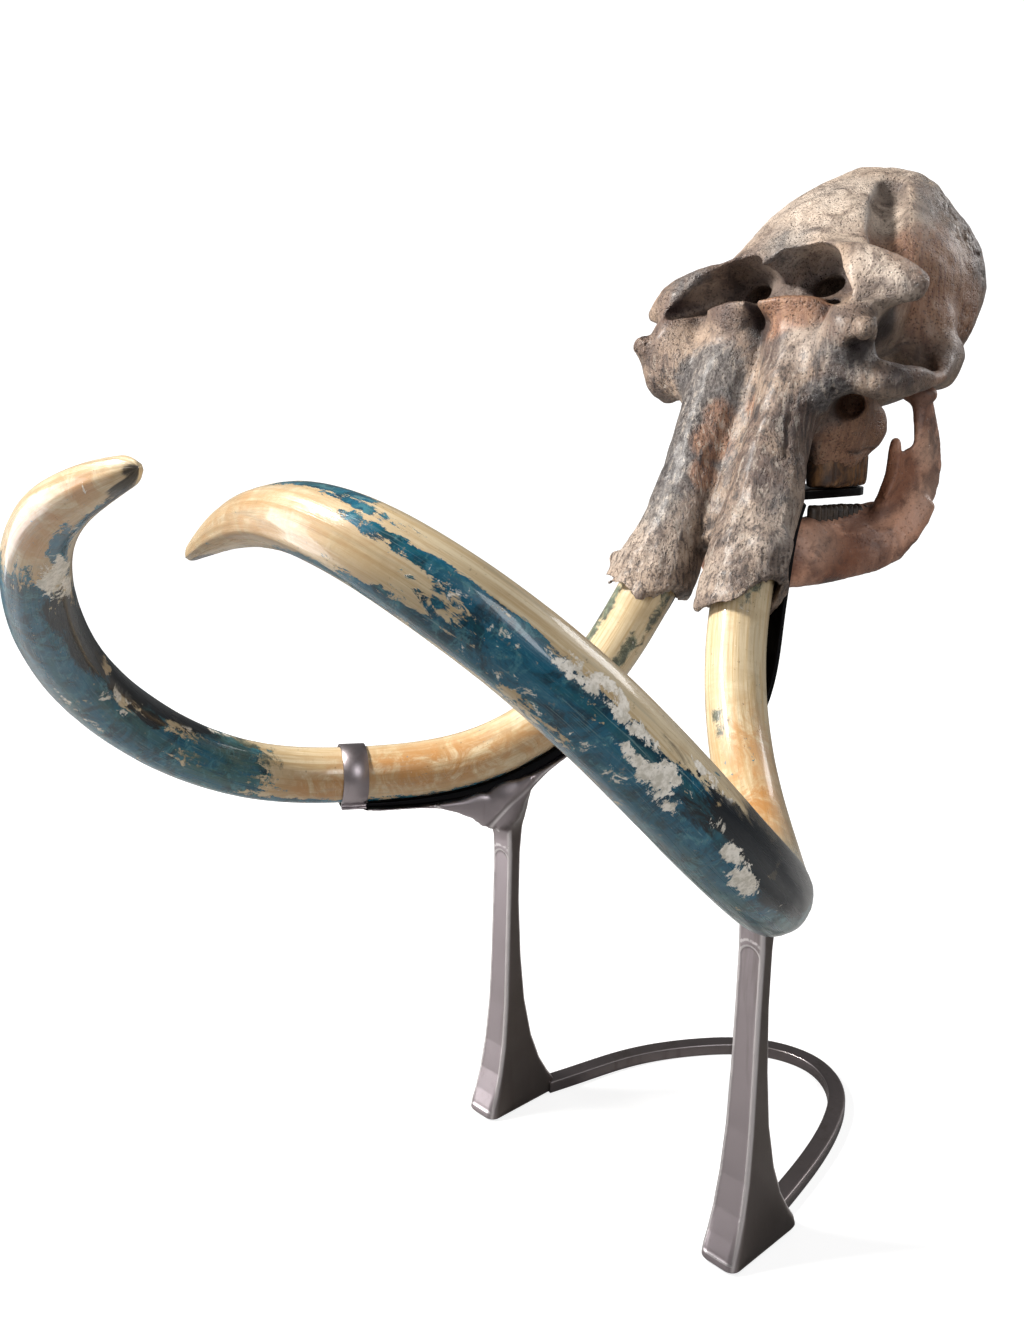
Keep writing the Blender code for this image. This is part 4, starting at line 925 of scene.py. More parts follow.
# Stains are given by their share of the length, the turn away from the side that looks
# outwards (positive towards the inside of the curl), half length, half turn and strength.
# Blue and night are the dark outer skin and cream the bare places in it, chalk is pale
# flakes, warm is orange and moss a grey green.
tusks = {
    "rings": 420,
    "sides": 96,
    "coarse": (150, 48),      # rings and sides of the quick version
    "tipStart": 0.985,        # share of the length where the tip starts to round off
    "relief": {"inset": 0.0012, "flute": 0.0010, "dent": 0.0007, "flake": 0.0008},
    "left": {
        "seed": 31,
        "route": [
            (0.100, 0.345, 1.560), (0.105, 0.285, 1.430), (0.130, 0.205, 1.280), (0.250, 0.060, 1.015),
            (0.415, -0.095, 0.905), (0.570, -0.295, 0.930), (0.700, -0.510, 1.030), (0.735, -0.725, 1.200),
            (0.675, -0.910, 1.390), (0.535, -1.025, 1.515), (0.295, -1.015, 1.540), (-0.055, -0.950, 1.455)],
        "thick": 0.128,
        "taper": (0.10, 2, 0.76, 7),      # slow share and its power, then the fast one near the tip
        # share of the length, and how far round the tusk the side that looks outwards is
        "outward": [(0, 54), (0.10, 56), (0.20, 61), (0.30, 67), (0.40, 62), (0.45, 40), (0.50, -79),
                    (0.60, -83), (0.70, -80), (0.75, -79), (0.80, -84), (0.85, -101), (0.90, -123),
                    (0.95, -138), (1, -142)],
        "blue": [(0.50, 0, 0.09, 180, 1.0), (0.60, 0, 0.07, 180, 1.0), (0.655, -20, 0.055, 60, 1.0),
                 (0.70, -25, 0.05, 42, 1.0), (0.74, -52, 0.05, 20, 0.9), (0.79, -66, 0.05, 14, 0.8),
                 (0.74, 22, 0.045, 15, 0.95), (0.715, 5, 0.035, 18, 0.9), (0.78, 48, 0.03, 12, 0.9),
                 (0.815, 66, 0.035, 13, 1.0), (0.40, -170, 0.10, 60, 0.9), (0.66, 60, 0.02, 20, 0.5),
                 (0.69, 170, 0.10, 60, 0.8), (0.87, 160, 0.08, 30, 0.5)],
        "night": [(0.54, 55, 0.060, 60, 1.3), (0.49, 100, 0.07, 90, 1.3), (0.595, 34, 0.030, 26, 1.0),
                  (0.645, 38, 0.02, 12, 0.8), (0.36, 150, 0.08, 60, 0.8), (0.975, -60, 0.035, 45, 1.0),
                  (0.62, 5, 0.02, 18, 0.6), (0.57, 8, 0.02, 26, 0.7)],
        "chalk": [(0.665, 20, 0.034, 13, 1.0), (0.685, 34, 0.03, 12, 0.9), (0.640, 12, 0.018, 8, 0.95),
                  (0.592, 2, 0.012, 14, 1.0), (0.572, -12, 0.014, 14, 1.0), (0.61, 14, 0.020, 10, 0.7),
                  (0.745, 2, 0.03, 16, 0.5), (0.92, -75, 0.06, 18, 0.8), (0.62, 45, 0.02, 10, 0.8),
                  (0.650, -2, 0.022, 14, 1.0), (0.638, -16, 0.014, 12, 0.9), (0.655, -30, 0.03, 14, 0.35),
                  (0.70, -40, 0.05, 14, 0.45), (0.53, -20, 0.03, 30, 0.3), (0.695, 18, 0.02, 14, 0.9)],
        "cream": [(0.70, -50, 0.025, 10, 0.5), (0.605, 52, 0.02, 10, 0.6), (0.62, 66, 0.05, 26, 0.9),
                  (0.67, 62, 0.06, 30, 1.0), (0.73, 60, 0.05, 28, 1.0), (0.58, 66, 0.02, 14, 0.7)],
        "warm": [(0.24, -10, 0.04, 60, 0.9), (0.30, 0, 0.06, 60, 1.1), (0.33, 60, 0.06, 40, 1.0),
                 (0.88, 0, 0.10, 60, 0.7)],
        "moss": [(0.212, 36, 0.018, 26, 0.62), (0.10, -10, 0.02, 30, 0.7), (0.55, -70, 0.10, 40, 0.7),
                 (0.50, -30, 0.03, 40, 0.8)],
    },
    "right": {
        "seed": 37,
        "route": [
            (-0.100, 0.345, 1.560), (-0.105, 0.285, 1.430), (-0.130, 0.210, 1.290), (-0.245, 0.090, 1.040),
            (-0.380, -0.085, 0.905), (-0.515, -0.290, 0.875), (-0.600, -0.510, 0.905), (-0.595, -0.740, 1.020),
            (-0.495, -0.940, 1.190), (-0.320, -1.075, 1.365), (-0.105, -1.135, 1.520), (0.150, -1.115, 1.600)],
        "thick": 0.130,
        "taper": (0.10, 2, 0.62, 11),
        "outward": [(0, 50), (0.20, 49), (0.40, 50), (0.50, 47), (0.55, 42), (0.60, 36), (0.65, 30), (0.70, 22),
                    (0.75, 12), (0.80, -1), (0.85, -15), (0.90, -40), (0.95, -64), (1, -70)],
        "blue": [(0.57, 0, 0.06, 180, 1.0), (0.66, 0, 0.07, 180, 1.0), (0.76, 0, 0.07, 180, 1.0),
                 (0.82, -20, 0.045, 100, 0.9), (0.905, 46, 0.03, 18, 1.0), (0.95, 66, 0.04, 14, 0.8),
                 (0.51, 30, 0.02, 40, 0.5), (0.48, -72, 0.10, 16, 0.8), (0.36, -78, 0.10, 12, 0.6),
                 (0.62, 170, 0.15, 60, 0.9), (0.87, 60, 0.02, 20, 0.5)],
        "night": [(0.61, 62, 0.05, 30, 1.0), (0.68, 50, 0.035, 36, 1.0), (0.76, 55, 0.05, 40, 1.1),
                  (0.82, 40, 0.03, 40, 0.8), (0.64, 22, 0.02, 14, 0.8), (0.99, 60, 0.02, 50, 1.0),
                  (1.0, 0, 0.010, 90, 0.9), (0.965, 78, 0.03, 16, 0.9)],
        "chalk": [(0.68, 28, 0.022, 16, 0.9), (0.70, 8, 0.010, 12, 0.85), (0.655, 34, 0.012, 10, 0.8),
                  (0.67, 4, 0.008, 8, 0.8), (0.735, 55, 0.010, 10, 0.8), (0.60, 40, 0.010, 12, 0.7),
                  (0.86, 40, 0.028, 34, 1.0), (0.835, 64, 0.018, 14, 0.9), (0.70, -50, 0.04, 9, 0.7),
                  (0.555, 70, 0.014, 12, 0.8), (0.93, 58, 0.02, 8, 0.6)],
        "cream": [(0.67, 20, 0.020, 14, 0.55), (0.60, 30, 0.025, 14, 0.5), (0.585, -10, 0.02, 20, 0.5),
                  (0.72, 52, 0.014, 14, 0.5), (0.46, 30, 0.04, 40, 0.9), (0.52, 66, 0.03, 14, 0.8),
                  (0.12, -10, 0.05, 40, 0.8)],
        "warm": [(0.36, 0, 0.09, 60, 1.1), (0.45, -30, 0.05, 40, 1.0), (0.93, -10, 0.07, 60, 1.0),
                 (0.28, -10, 0.05, 50, 0.9)],
        "moss": [(0.15, 64, 0.07, 24, 0.8), (0.165, -30, 0.025, 20, 0.75), (0.55, 10, 0.05, 90, 0.9),
                 (0.66, -20, 0.06, 50, 0.5), (0.12, -50, 0.04, 22, 0.6), (0.21, 20, 0.03, 20, 0.5)],
    },
}


def tuskRadius(side, share):
    slow, slowPower, fast, fastPower = tusks[side]["taper"]
    root = 0.22 * np.maximum(0.0, 1 - share / 0.12) ** 2
    return tusks[side]["thick"] / 2 * (1 - slow * share**slowPower - fast * share**fastPower - root)


def tuskSpine(side, rings):
    path = smoothCurve(tusks[side]["route"], rings)
    along = headings(path)
    across = np.zeros_like(path)
    hint = np.array([1.0, 0, 0])
    for i in range(rings):
        hint = hint - along[i] * hint.dot(along[i])
        hint /= np.linalg.norm(hint)
        across[i] = hint
    return path, along, across, np.cross(along, across)


def tuskStain(side, name, shares, turns):
    outward = np.interp(shares, *zip(*tusks[side]["outward"]))[:, None]
    away = (np.degrees(turns)[None, :] - outward + 180) % 360 - 180
    total = np.zeros(away.shape)
    for share, turn, halfShare, halfTurn, strength in tusks[side][name]:
        apart = np.abs((away - turn + 180) % 360 - 180) / halfTurn
        distance = np.sqrt(((shares[:, None] - share) / halfShare) ** 2 + apart**2)
        total = np.maximum(total, strength * np.clip(1.5 - distance, 0, 1))
    return np.concatenate([total.ravel(), [total[0].mean(), total[-1].mean()]])


def makeTusk(side, finish):
    rings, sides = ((tusks["rings"], tusks["sides"]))
    path, _, across, lift = tuskSpine(side, rings)
    shares = np.linspace(0, 1, rings)
    length = np.linalg.norm(np.diff(path, axis=0), axis=1).sum()
    tipStart = tusks["tipStart"]
    rounding = np.sqrt(np.clip(1 - (np.clip(shares - tipStart, 0, 1) / (1 - tipStart)) ** 2, 0.02, 1))
    radius = tuskRadius(side, shares) * rounding
    turns = 2 * pi * np.arange(sides) / sides
    out = across[:, None] * np.cos(turns)[None, :, None] + lift[:, None] * np.sin(turns)[None, :, None]
    grit = Grit(tusks[side]["seed"])
    # long flutes, shallow dents and the flaked places of old ivory
    ringOf, turnOf = np.meshgrid(shares * length, turns, indexing="ij")
    wrapped = np.stack([ringOf.ravel() * 1.6, np.cos(turnOf).ravel() * 0.75, np.sin(turnOf).ravel() * 0.75], 1)
    flutes = grit.layered(wrapped * np.array([0.5, 3.2, 3.2]), 1.0, 2)
    dents = grit.layered(wrapped * 3.0, 1.0, 3)
    flakes = grit.layered(wrapped * np.array([4.5, 4.0, 4.0]) + 3.7, 1.0, 4)
    chalk = tuskStain(side, "chalk", shares, turns)
    worn = np.clip((flakes - 0.32) * 5, 0, 1) * 0.4 + np.clip(chalk[:-2] - 0.4 + flakes * 0.5, 0, 0.5) * 1.4
    depth = tusks["relief"]
    height = -depth["inset"] + depth["flute"] * flutes + depth["dent"] * dents - depth["flake"] * worn
    points = path[:, None] + out * (radius[:, None] + height.reshape(rings, sides))[:, :, None]
    piece = loftMesh("tusk" + side.capitalize(), points, finish)
    grain = piece.data.attributes.new("grain", "FLOAT_VECTOR", "POINT")
    spots = np.stack([ringOf.ravel(), np.cos(turnOf).ravel(), np.sin(turnOf).ravel()], 1)
    spots = np.concatenate([spots, [[0, 0, 0], [length, 0, 0]]])
    grain.data.foreach_set("vector", spots.astype(np.float32).ravel())
    for name in ("blue", "night", "chalk", "cream", "warm", "moss"):
        paint(piece, name, tuskStain(side, name, shares, turns))
    hand(piece, "ivory", "tusk_" + side)


# what lies under the tusks

bar = {
    # shares of the tusk's length between which the bracket carries the bar
    "cradle": {"left": (0.365, 0.215), "right": (0.436, 0.215)},
    "width": 0.046,
    "depths": (0.006, 0.022, 0.013),      # at its front end, at the back of the bracket, on the climb
    "climb": [(0.192, 0.205, 1.120), (0.155, 0.290, 1.250), (0.134, 0.340, 1.350), (0.121, 0.382, 1.440),
              (0.114, 0.415, 1.484)],
    "gap": 0.0006,
    "rows": 150,
    "coarseRows": 60,
    "sides": 40,
    "fullness": 0.28,         # 1 is round, 0 square
}


def underTusk(side, share, away):
    # the point that far under the tusk's axis, the way along and the way down
    path, along, _, _ = tuskSpine(side, 401)
    i = int(round(share * 400))
    down = np.array([0, 0, -1.0])
    down = down - along[i] * down.dot(along[i])
    down /= np.linalg.norm(down)
    return path[i] + down * away, along[i], down


def barDepth(side, share):
    start, end = bar["cradle"][side]
    thin, thick, _ = bar["depths"]
    return thin + (thick - thin) * min(1.0, 1.6 * (start - share) / (start - end))


# legs

leg = {
    "cell": 0.0026,
    "coarseCell": 0.009,
    "triangles": 90000,
    "x": 0.355,
    "block": ((0.20, -0.32, -0.006), (0.60, 0.16, 1.06)),     # two corners of the left leg's clay
    # height, half width, front and back
    "sections": [
        (0.000, 0.0405, -0.099, 0.117), (0.010, 0.0445, -0.106, 0.125), (0.030, 0.0435, -0.101, 0.117),
        (0.060, 0.0415, -0.089, 0.095), (0.110, 0.0385, -0.073, 0.065), (0.180, 0.0365, -0.059, 0.039),
        (0.280, 0.0335, -0.048, 0.019), (0.400, 0.0315, -0.042, 0.008), (0.540, 0.0305, -0.037, 0.003),
        (0.660, 0.0305, -0.033, 0.006), (0.730, 0.0305, -0.035, 0.014), (0.800, 0.0315, -0.045, 0.028)],
    "top": 0.81,
    "corner": 0.0105,
    "footCorner": 0.012,      # how much rounder the corners are at the floor
    "endRound": 0.005,
    "panel": {"bottom": 0.022, "top": 0.668, "border": 0.0062, "depth": 0.0024, "fade": 0.004},
    "neckPoint": 0.715,
    "wedgeSlope": 0.62,       # how fast the raised V on the neck widens with height
    "wedgeRise": 0.0035,
    # the bracket under the tusk: its thickness, the depth and reach of the web, width and how it narrows
    "bracket": {"thick": 0.0065, "web": 0.085, "reach": 0.120, "wide": 0.075, "narrow": 0.010},
}


def legSection(z):
    # half width, front and back of the leg at any height
    heights, *rows = zip(*leg["sections"])
    return [np.interp(z, heights, row) for row in rows]


def makeLeg(side, finish):
    sign = 1 if side == "left" else -1
    x0 = sign * leg["x"]
    block = np.array(leg["block"]) * (sign, 1, 1)
    clay = Clay(False, block.min(0), block.max(0), leg["cell"])
    # the column: a rounded oblong at every height, its front sunk inside the panel's outline
    slices, (x, y, z) = clay.patch((x0 - 0.09, -0.16, -0.1), (x0 + 0.09, 0.16, 0.86))
    half, front, back = legSection(z)
    panel = leg["panel"]
    inner = half - panel["border"]
    spring = panel["top"] - inner
    inside = inner - np.sqrt((x - x0) ** 2 + np.maximum(z - spring, 0) ** 2)
    inside = np.minimum(inside, z - panel["bottom"])
    ease = np.clip(inside / panel["fade"], 0, 1)
    front = front + panel["depth"] * ease * ease * (3 - 2 * ease)
    corner = leg["corner"] + leg["footCorner"] * np.clip(1 - z / 0.12, 0, 1)
    awayX = np.abs(x - x0) - (half - corner)
    awayY = np.abs(y - (front + back) / 2) - ((back - front) / 2 - corner)
    column = np.sqrt(np.maximum(awayX, 0) ** 2 + np.maximum(awayY, 0) ** 2)
    column = column + np.minimum(np.maximum(awayX, awayY), 0) - corner
    awayZ = np.maximum(0.001 - z, z - leg["top"])
    ends = leg["endRound"]
    rounded = np.sqrt(np.maximum(column + ends, 0) ** 2 + np.maximum(awayZ + ends, 0) ** 2)
    column = rounded + np.minimum(np.maximum(column, awayZ) + ends, 0) - ends
    clay.press(slices, column.astype(np.float32), 0.004, False)
    bracket = leg["bracket"]
    centres, sizes = [], []
    start, end = bar["cradle"][side]
    for share in np.linspace(start - 0.012, end + 0.02, 24):
        point, _, down = underTusk(side, share, tuskRadius(side, share) + barDepth(side, share) + 0.001)
        web = max(0.0, 1 - abs(abs(point[0]) - leg["x"] - 0.008) / bracket["reach"])
        deep = bracket["thick"] + bracket["web"] * web**2.6
        centres.append(point + down * deep / 2)
        sizes.append(((bracket["wide"] - bracket["narrow"] * web) / 2, deep / 2))
    middle = headings(np.array(centres))[12]
    clay.limb(centres, sizes, (-middle[1], middle[0], 0), blend=0.045, cap=0.002, steps=90, power=5)
    # a raised V on the front of the neck, its point at the top of the panel
    slices, (x, y, z) = clay.patch((x0 - 0.13, -0.30, 0.70), (x0 + 0.13, 0.03, 0.97))
    wedge = ((z - leg["neckPoint"]) * leg["wedgeSlope"] - np.abs(x - x0)) * 0.85
    ease = np.clip(wedge / 0.006, 0, 1) * np.clip(-y / 0.01, 0, 1)
    clay.field[slices] -= (leg["wedgeRise"] * ease * ease * (3 - 2 * ease)).astype(np.float32)
    points, faces = clay.skin()
    piece = toMesh("leg" + side.capitalize(), points, faces, finish)
    soften(piece, 2)
    points = pointsOf(piece)
    points[:, 2] = np.maximum(points[:, 2], 0.0)
    movePoints(piece, points)
    thinOut(piece, leg["triangles"])
    points, normals = pointsOf(piece), normalsOf(piece)
    x, y, z = points.T
    half, front, back = legSection(z)
    forward = np.clip(-normals[:, 1] * 1.3, 0, 1)
    aside, off = np.abs(x - x0), np.abs(y - (front + back) / 2)
    toCorner = np.hypot(aside - half + 0.0035, off - (back - front) / 2 + 0.0035)
    inside = half - panel["border"] - np.hypot(x - x0, np.maximum(z - panel["top"] + half - panel["border"], 0))
    outline = np.abs(np.minimum(inside, z - panel["bottom"]))
    toPanel = np.minimum(outline, np.abs(inside + 0.012) + 1.0 * (z < 0.6))
    toWedge = np.abs((z - leg["neckPoint"]) * leg["wedgeSlope"] - aside) * 0.85
    toWedge = toWedge + 1.0 * (z < leg["neckPoint"])
    # painted highlights: bright lines along the column's corners, round the panel and along the V on the neck,
    # stored in the edge share
    shine = 0.8 * np.exp(-((toCorner / 0.0060) ** 2)) * (z < 0.76)
    shine = np.maximum(shine, np.exp(-((toPanel / 0.0022) ** 2)) * forward * (z < 0.72))
    shine = np.maximum(shine, np.exp(-((toWedge / 0.0035) ** 2)) * forward * 0.9)
    paint(piece, "edge", 0.5 + 0.45 * shine)
    # painted light: front faces and the top of the leg in the lit tone, the sides in the shaded tone
    paint(piece, "paintedLight", np.clip(0.12 + forward * 0.85 + 0.35 * np.clip(z - 0.70, 0, 0.1) / 0.1, 0, 1))
    hand(piece, "bronze", "leg_" + side)


# bars, clamp, bow, plate and strut

def slabRings(path, downs, widths, depths, shape):
    # rings of a bar whose top face runs along the path, with rounded corners
    along = headings(path)
    angle = 2 * pi * (np.arange(shape["sides"]) + 0.5) / shape["sides"]
    c, s = squared(np.cos(angle), shape["fullness"]), squared(np.sin(angle), shape["fullness"])
    rings = []
    for centre, down, way, width, depth in zip(path, downs, along, widths, depths):
        side = unit(np.cross(way, down))
        middle = centre + down * depth / 2
        rings.append(middle + np.outer(c, side * width / 2) + np.outer(s, down * depth / 2))
    return np.array(rings)


def resample(rows, count):
    rows = np.array(rows)
    steps = np.concatenate([[0], np.cumsum(np.linalg.norm(np.diff(rows[:, :3], axis=0), axis=1))])
    wanted = np.linspace(0, steps[-1], count)
    return np.stack([np.interp(wanted, steps, rows[:, k]) for k in range(rows.shape[1])], 1)


def makeBar(side, finish):
    sign = 1 if side == "left" else -1
    start, end = bar["cradle"][side]
    rows = []
    for share in np.linspace(start, end, 26):
        point, _, down = underTusk(side, share, tuskRadius(side, share) + bar["gap"])
        rows.append([*point, *down, barDepth(side, share)])
    climb = smoothCurve([rows[-1][:3]] + [(sign * x, y, z) for x, y, z in bar["climb"]], 26)
    for point, along in zip(climb[1:], headings(climb)[1:]):
        away = np.array([0, 1.0, 0])
        away = unit(away - along * away.dot(along))
        rows.append([*point, *away, bar["depths"][2]])
    rows = resample(rows, bar["rows"])
    rings = slabRings(rows[:, :3], unit(rows[:, 3:6]), [bar["width"]] * len(rows), rows[:, 6], bar)
    piece = loftMesh("bar" + side.capitalize(), rings, finish)
    hand(piece, "dark_steel", "bar_" + side)


clamp = {
    "share": 0.425,           # how far along the right tusk it sits
    "wide": 0.056,
    "thick": 0.004,
    "arc": 154,               # degrees that the strap goes round each side, from the top
    "gap": 0.0016,
    "bevel": 0.0009,
}


def makeClamp(finish):
    inner = tuskRadius("right", clamp["share"]) + clamp["gap"]
    centre, along, down = underTusk("right", clamp["share"], 0.0)
    across = unit(np.cross(along, down))
    foot = inner + barDepth("right", clamp["share"])
    half = radians(clamp["arc"])
    ankle = inner * sin(half)
    thick = clamp["thick"]
    turns = np.linspace(half, -half, 60)
    strapIn = [(inner * sin(a), -inner * cos(a)) for a in turns]
    strapOut = [((inner + thick) * sin(a), -(inner + thick) * cos(a)) for a in turns]
    toe = [(ankle + 0.0075, foot), (ankle + 0.008, foot - 0.001), (ankle + 0.0075, foot - thick),
           (ankle + thick + 0.001, foot - thick)]
    mirrored = [(-x, y) for x, y in toe]
    profile = [(ankle, foot)] + strapIn + [(-ankle, foot)] + mirrored + strapOut[::-1] + toe[::-1]
    middle = np.array(profile).mean(0)
    rings = []
    bevel = clamp["bevel"]
    for place, shrink in ((-0.5, bevel), (-0.488, 0), (0, 0), (0.488, 0), (0.5, bevel)):
        ring = np.array(profile)
        ring = ring + unit(middle - ring) * shrink
        spot = centre + along * place * clamp["wide"]
        rings.append(spot + np.outer(ring[:, 0], across) + np.outer(ring[:, 1], down))
    piece = loftMesh("tuskClamp", np.array(rings), finish)
    # painted light: the whole clamp in the lit tone
    paint(piece, "paintedLight", np.ones(len(piece.data.vertices)))
    hand(piece, "bronze", "clamp")


bow = {
    "route": [(-0.326, 0.096), (-0.306, 0.183), (-0.266, 0.345), (-0.177, 0.518), (-0.045, 0.646),
              (0.080, 0.668), (0.188, 0.603), (0.257, 0.480), (0.314, 0.264), (0.342, 0.096)],
    "size": (0.0415, 0.0315),
    "rows": 200,
    "coarseRows": 70,
    "sides": 56,
    "fullness": 0.24,
}


def makeBow(finish):
    wide, tall = bow["size"]
    path = smoothCurve([(x, y, tall) for x, y in bow["route"]], bow["rows"])
    downs = np.tile([0, 0, -1.0], (len(path), 1))
    rings = slabRings(path, downs, [wide] * len(path), [tall] * len(path), bow)
    piece = loftMesh("floorBow", rings, finish)
    normals = normalsOf(piece)
    # painted highlights along the rounded edges of the bow
    paint(piece, "edge", 0.5 + 0.22 * np.exp(-(((np.abs(normals[:, 2]) - 0.7) / 0.25) ** 2)))
    # painted light: top faces in the shaded tone, the sides lighter
    paint(piece, "paintedLight", 0.45 - 0.45 * np.clip(normals[:, 2] * 1.2, 0, 1))
    hand(piece, "bronze", "floor_bow")


plate = {
    # across, back, height and half width
    "route": [(0, 0.399, 1.5140, 0.139), (0, 0.412, 1.5140, 0.1435), (0, 0.540, 1.5140, 0.1435),
              (0, 0.640, 1.5140, 0.1415), (0, 0.671, 1.5140, 0.1295)],
    "thick": 0.0215,
    "rows": 40,
    "sides": 64,
    "fullness": 0.14,
}


def makePlate(finish):
    rows = resample(plate["route"], plate["rows"])
    downs = np.tile([0, 0, -1.0], (len(rows), 1))
    rings = slabRings(rows[:, :3], downs, rows[:, 3] * 2, [plate["thick"]] * len(rows), plate)
    piece = loftMesh("palatePlate", rings, finish)
    hand(piece, "dark_steel", "palate_plate")


strut = {
    "route": [(0, 0.455, 1.397), (0, 0.4775, 1.444), (0, 0.4995, 1.491)],
    "size": 0.027,
    "rows": 20,
    "sides": 32,
    "fullness": 0.4,
}


def makeStrut(finish):
    path = smoothCurve(strut["route"], strut["rows"])
    sizes = [strut["size"]] * len(path)
    sides = np.tile([0, 1.0, 0], (len(path), 1))
    rings = slabRings(path - np.array([0, strut["size"] / 2, 0]), sides, sizes, sizes, strut)
    piece = loftMesh("jawStrut", rings, finish)
    hand(piece, "dark_steel", "jaw_strut")


# finishes

boneTints = {
    "tan": (0.380, 0.275, 0.202, 1), "brown": (0.128, 0.082, 0.064, 1), "blotch": (0.062, 0.042, 0.038, 1),
    "greyLight": (0.165, 0.158, 0.155, 1), "greyDark": (0.050, 0.048, 0.053, 1),
    "pale": (0.72, 0.610, 0.515, 1), "rustLight": (0.350, 0.180, 0.100, 1),
    "rustDark": (0.240, 0.110, 0.062, 1), "fibreDark": (0.032, 0.024, 0.023, 1),
    "fibreLight": (0.42, 0.36, 0.305, 1), "paintedShade": (0.020, 0.013, 0.012, 1), "grain": (0.052, 0.036, 0.030, 1),
    "sponge": (0.022, 0.015, 0.012, 1), "pit": (0.030, 0.021, 0.018, 1), "crack": (0.010, 0.007, 0.006, 1),
    "hollowShade": (0.028, 0.015, 0.015, 1),
}


def boneFinish():
    finish = Finish("fossilBone")
    where = finish.place()
    tint = boneTints
    fibres = finish.node("ShaderNodeMapping", {}, where, None, (radians(24.6), 0, 0), (1.0, 1.0, 0.16))
    hollowShade, rust, paintedShade, pale = map(finish.painted, ("hollowShade", "rust", "paintedShade", "pale"))
    spongy, fibrous, cracked, slate = map(finish.painted, ("spongy", "fibrous", "cracked", "slate"))
    broad = finish.noise(where, 5.5, 8, 0.66, 0.5)
    blotch = finish.noise(where, 19, 8, 0.68, 0.8)
    grain = finish.noise(where, 120, 6, 0.68)
    streak = finish.noise(fibres, 78, 7, 0.70, 0.4)
    pits = finish.cells(where, 150).between(0.0, 0.42)
    pores = finish.cells(where, 62).between(0.08, 0.46)
    colour = finish.mix(broad.between(0.38, 0.62), tint["tan"], tint["brown"])
    colour = finish.mix((blotch.between(0.46, 0.66) * 0.65).clip(), colour, tint["blotch"])
    greyed = finish.mix(grain.between(0.40, 0.60), tint["greyLight"], tint["greyDark"])
    colour = finish.mix((slate * 1.1 + blotch * 0.8 - 0.62).between(0.0, 0.5) * 0.85, colour, greyed)
    # pale bone; over the brow this is also a painted highlight
    colour = finish.mix((pale * (0.35 + grain) * blotch.between(0.72, 0.36)).clip(), colour, tint["pale"])
    rusted = finish.mix(streak.between(0.42, 0.60), tint["rustLight"], tint["rustDark"])
    colour = finish.mix((rust + broad * 0.9 - 0.55).between(0.05, 0.60) * 0.85, colour, rusted)
    colour = finish.mix((fibrous * streak.between(0.50, 0.62) * 0.80).clip(), colour, tint["fibreDark"])
    colour = finish.mix((fibrous * streak.between(0.47, 0.37) * 0.70).clip(), colour, tint["fibreLight"])
    # painted shade in the recesses, broken up by the blotches
    colour = finish.mix((paintedShade + blotch * 0.7 - 0.45).between(0.15, 0.75) * 0.88, colour, tint["paintedShade"])
    colour = finish.mix((grain.between(0.52, 0.70) * 0.4).clip(), colour, tint["grain"])
    colour = finish.mix((spongy * (1.0 - pores) * 0.85).clip(), colour, tint["sponge"])
    colour = finish.mix(((1.0 - pits) * 0.6).clip(), colour, tint["pit"])
    colour = finish.mix((cracked * 0.85).clip(), colour, tint["crack"])
    # painted shade in hollows and recesses
    colour = finish.mix((hollowShade * 1.5 - 0.40).clip() * 0.88, colour, tint["hollowShade"])
    height = finish.bump(grain * 0.6 + streak * fibrous * 1.1 + blotch * 1.5 + broad, 0.0070)
    height = finish.bump(pits * 0.6 + pores * spongy * 1.6, 0.0045, height)
    finish.shade(colour, 0.50 - broad * 0.24 + grain * 0.16, normal=height,
                 coat=(0.20 - spongy * 0.2 - hollowShade * 0.2).clip(), fixed={"Coat Roughness": 0.34})
    return finish


jawTints = {
    "tan": (0.640, 0.340, 0.225, 1), "brown": (0.200, 0.100, 0.068, 1), "rust": (0.215, 0.080, 0.040, 1),
    "pale": (0.56, 0.41, 0.320, 1), "blotch": (0.050, 0.027, 0.022, 1), "paintedShade": (0.022, 0.015, 0.013, 1),
    "pit": (0.05, 0.028, 0.022, 1), "crack": (0.012, 0.008, 0.007, 1), "hollowShade": (0.015, 0.009, 0.008, 1),
}


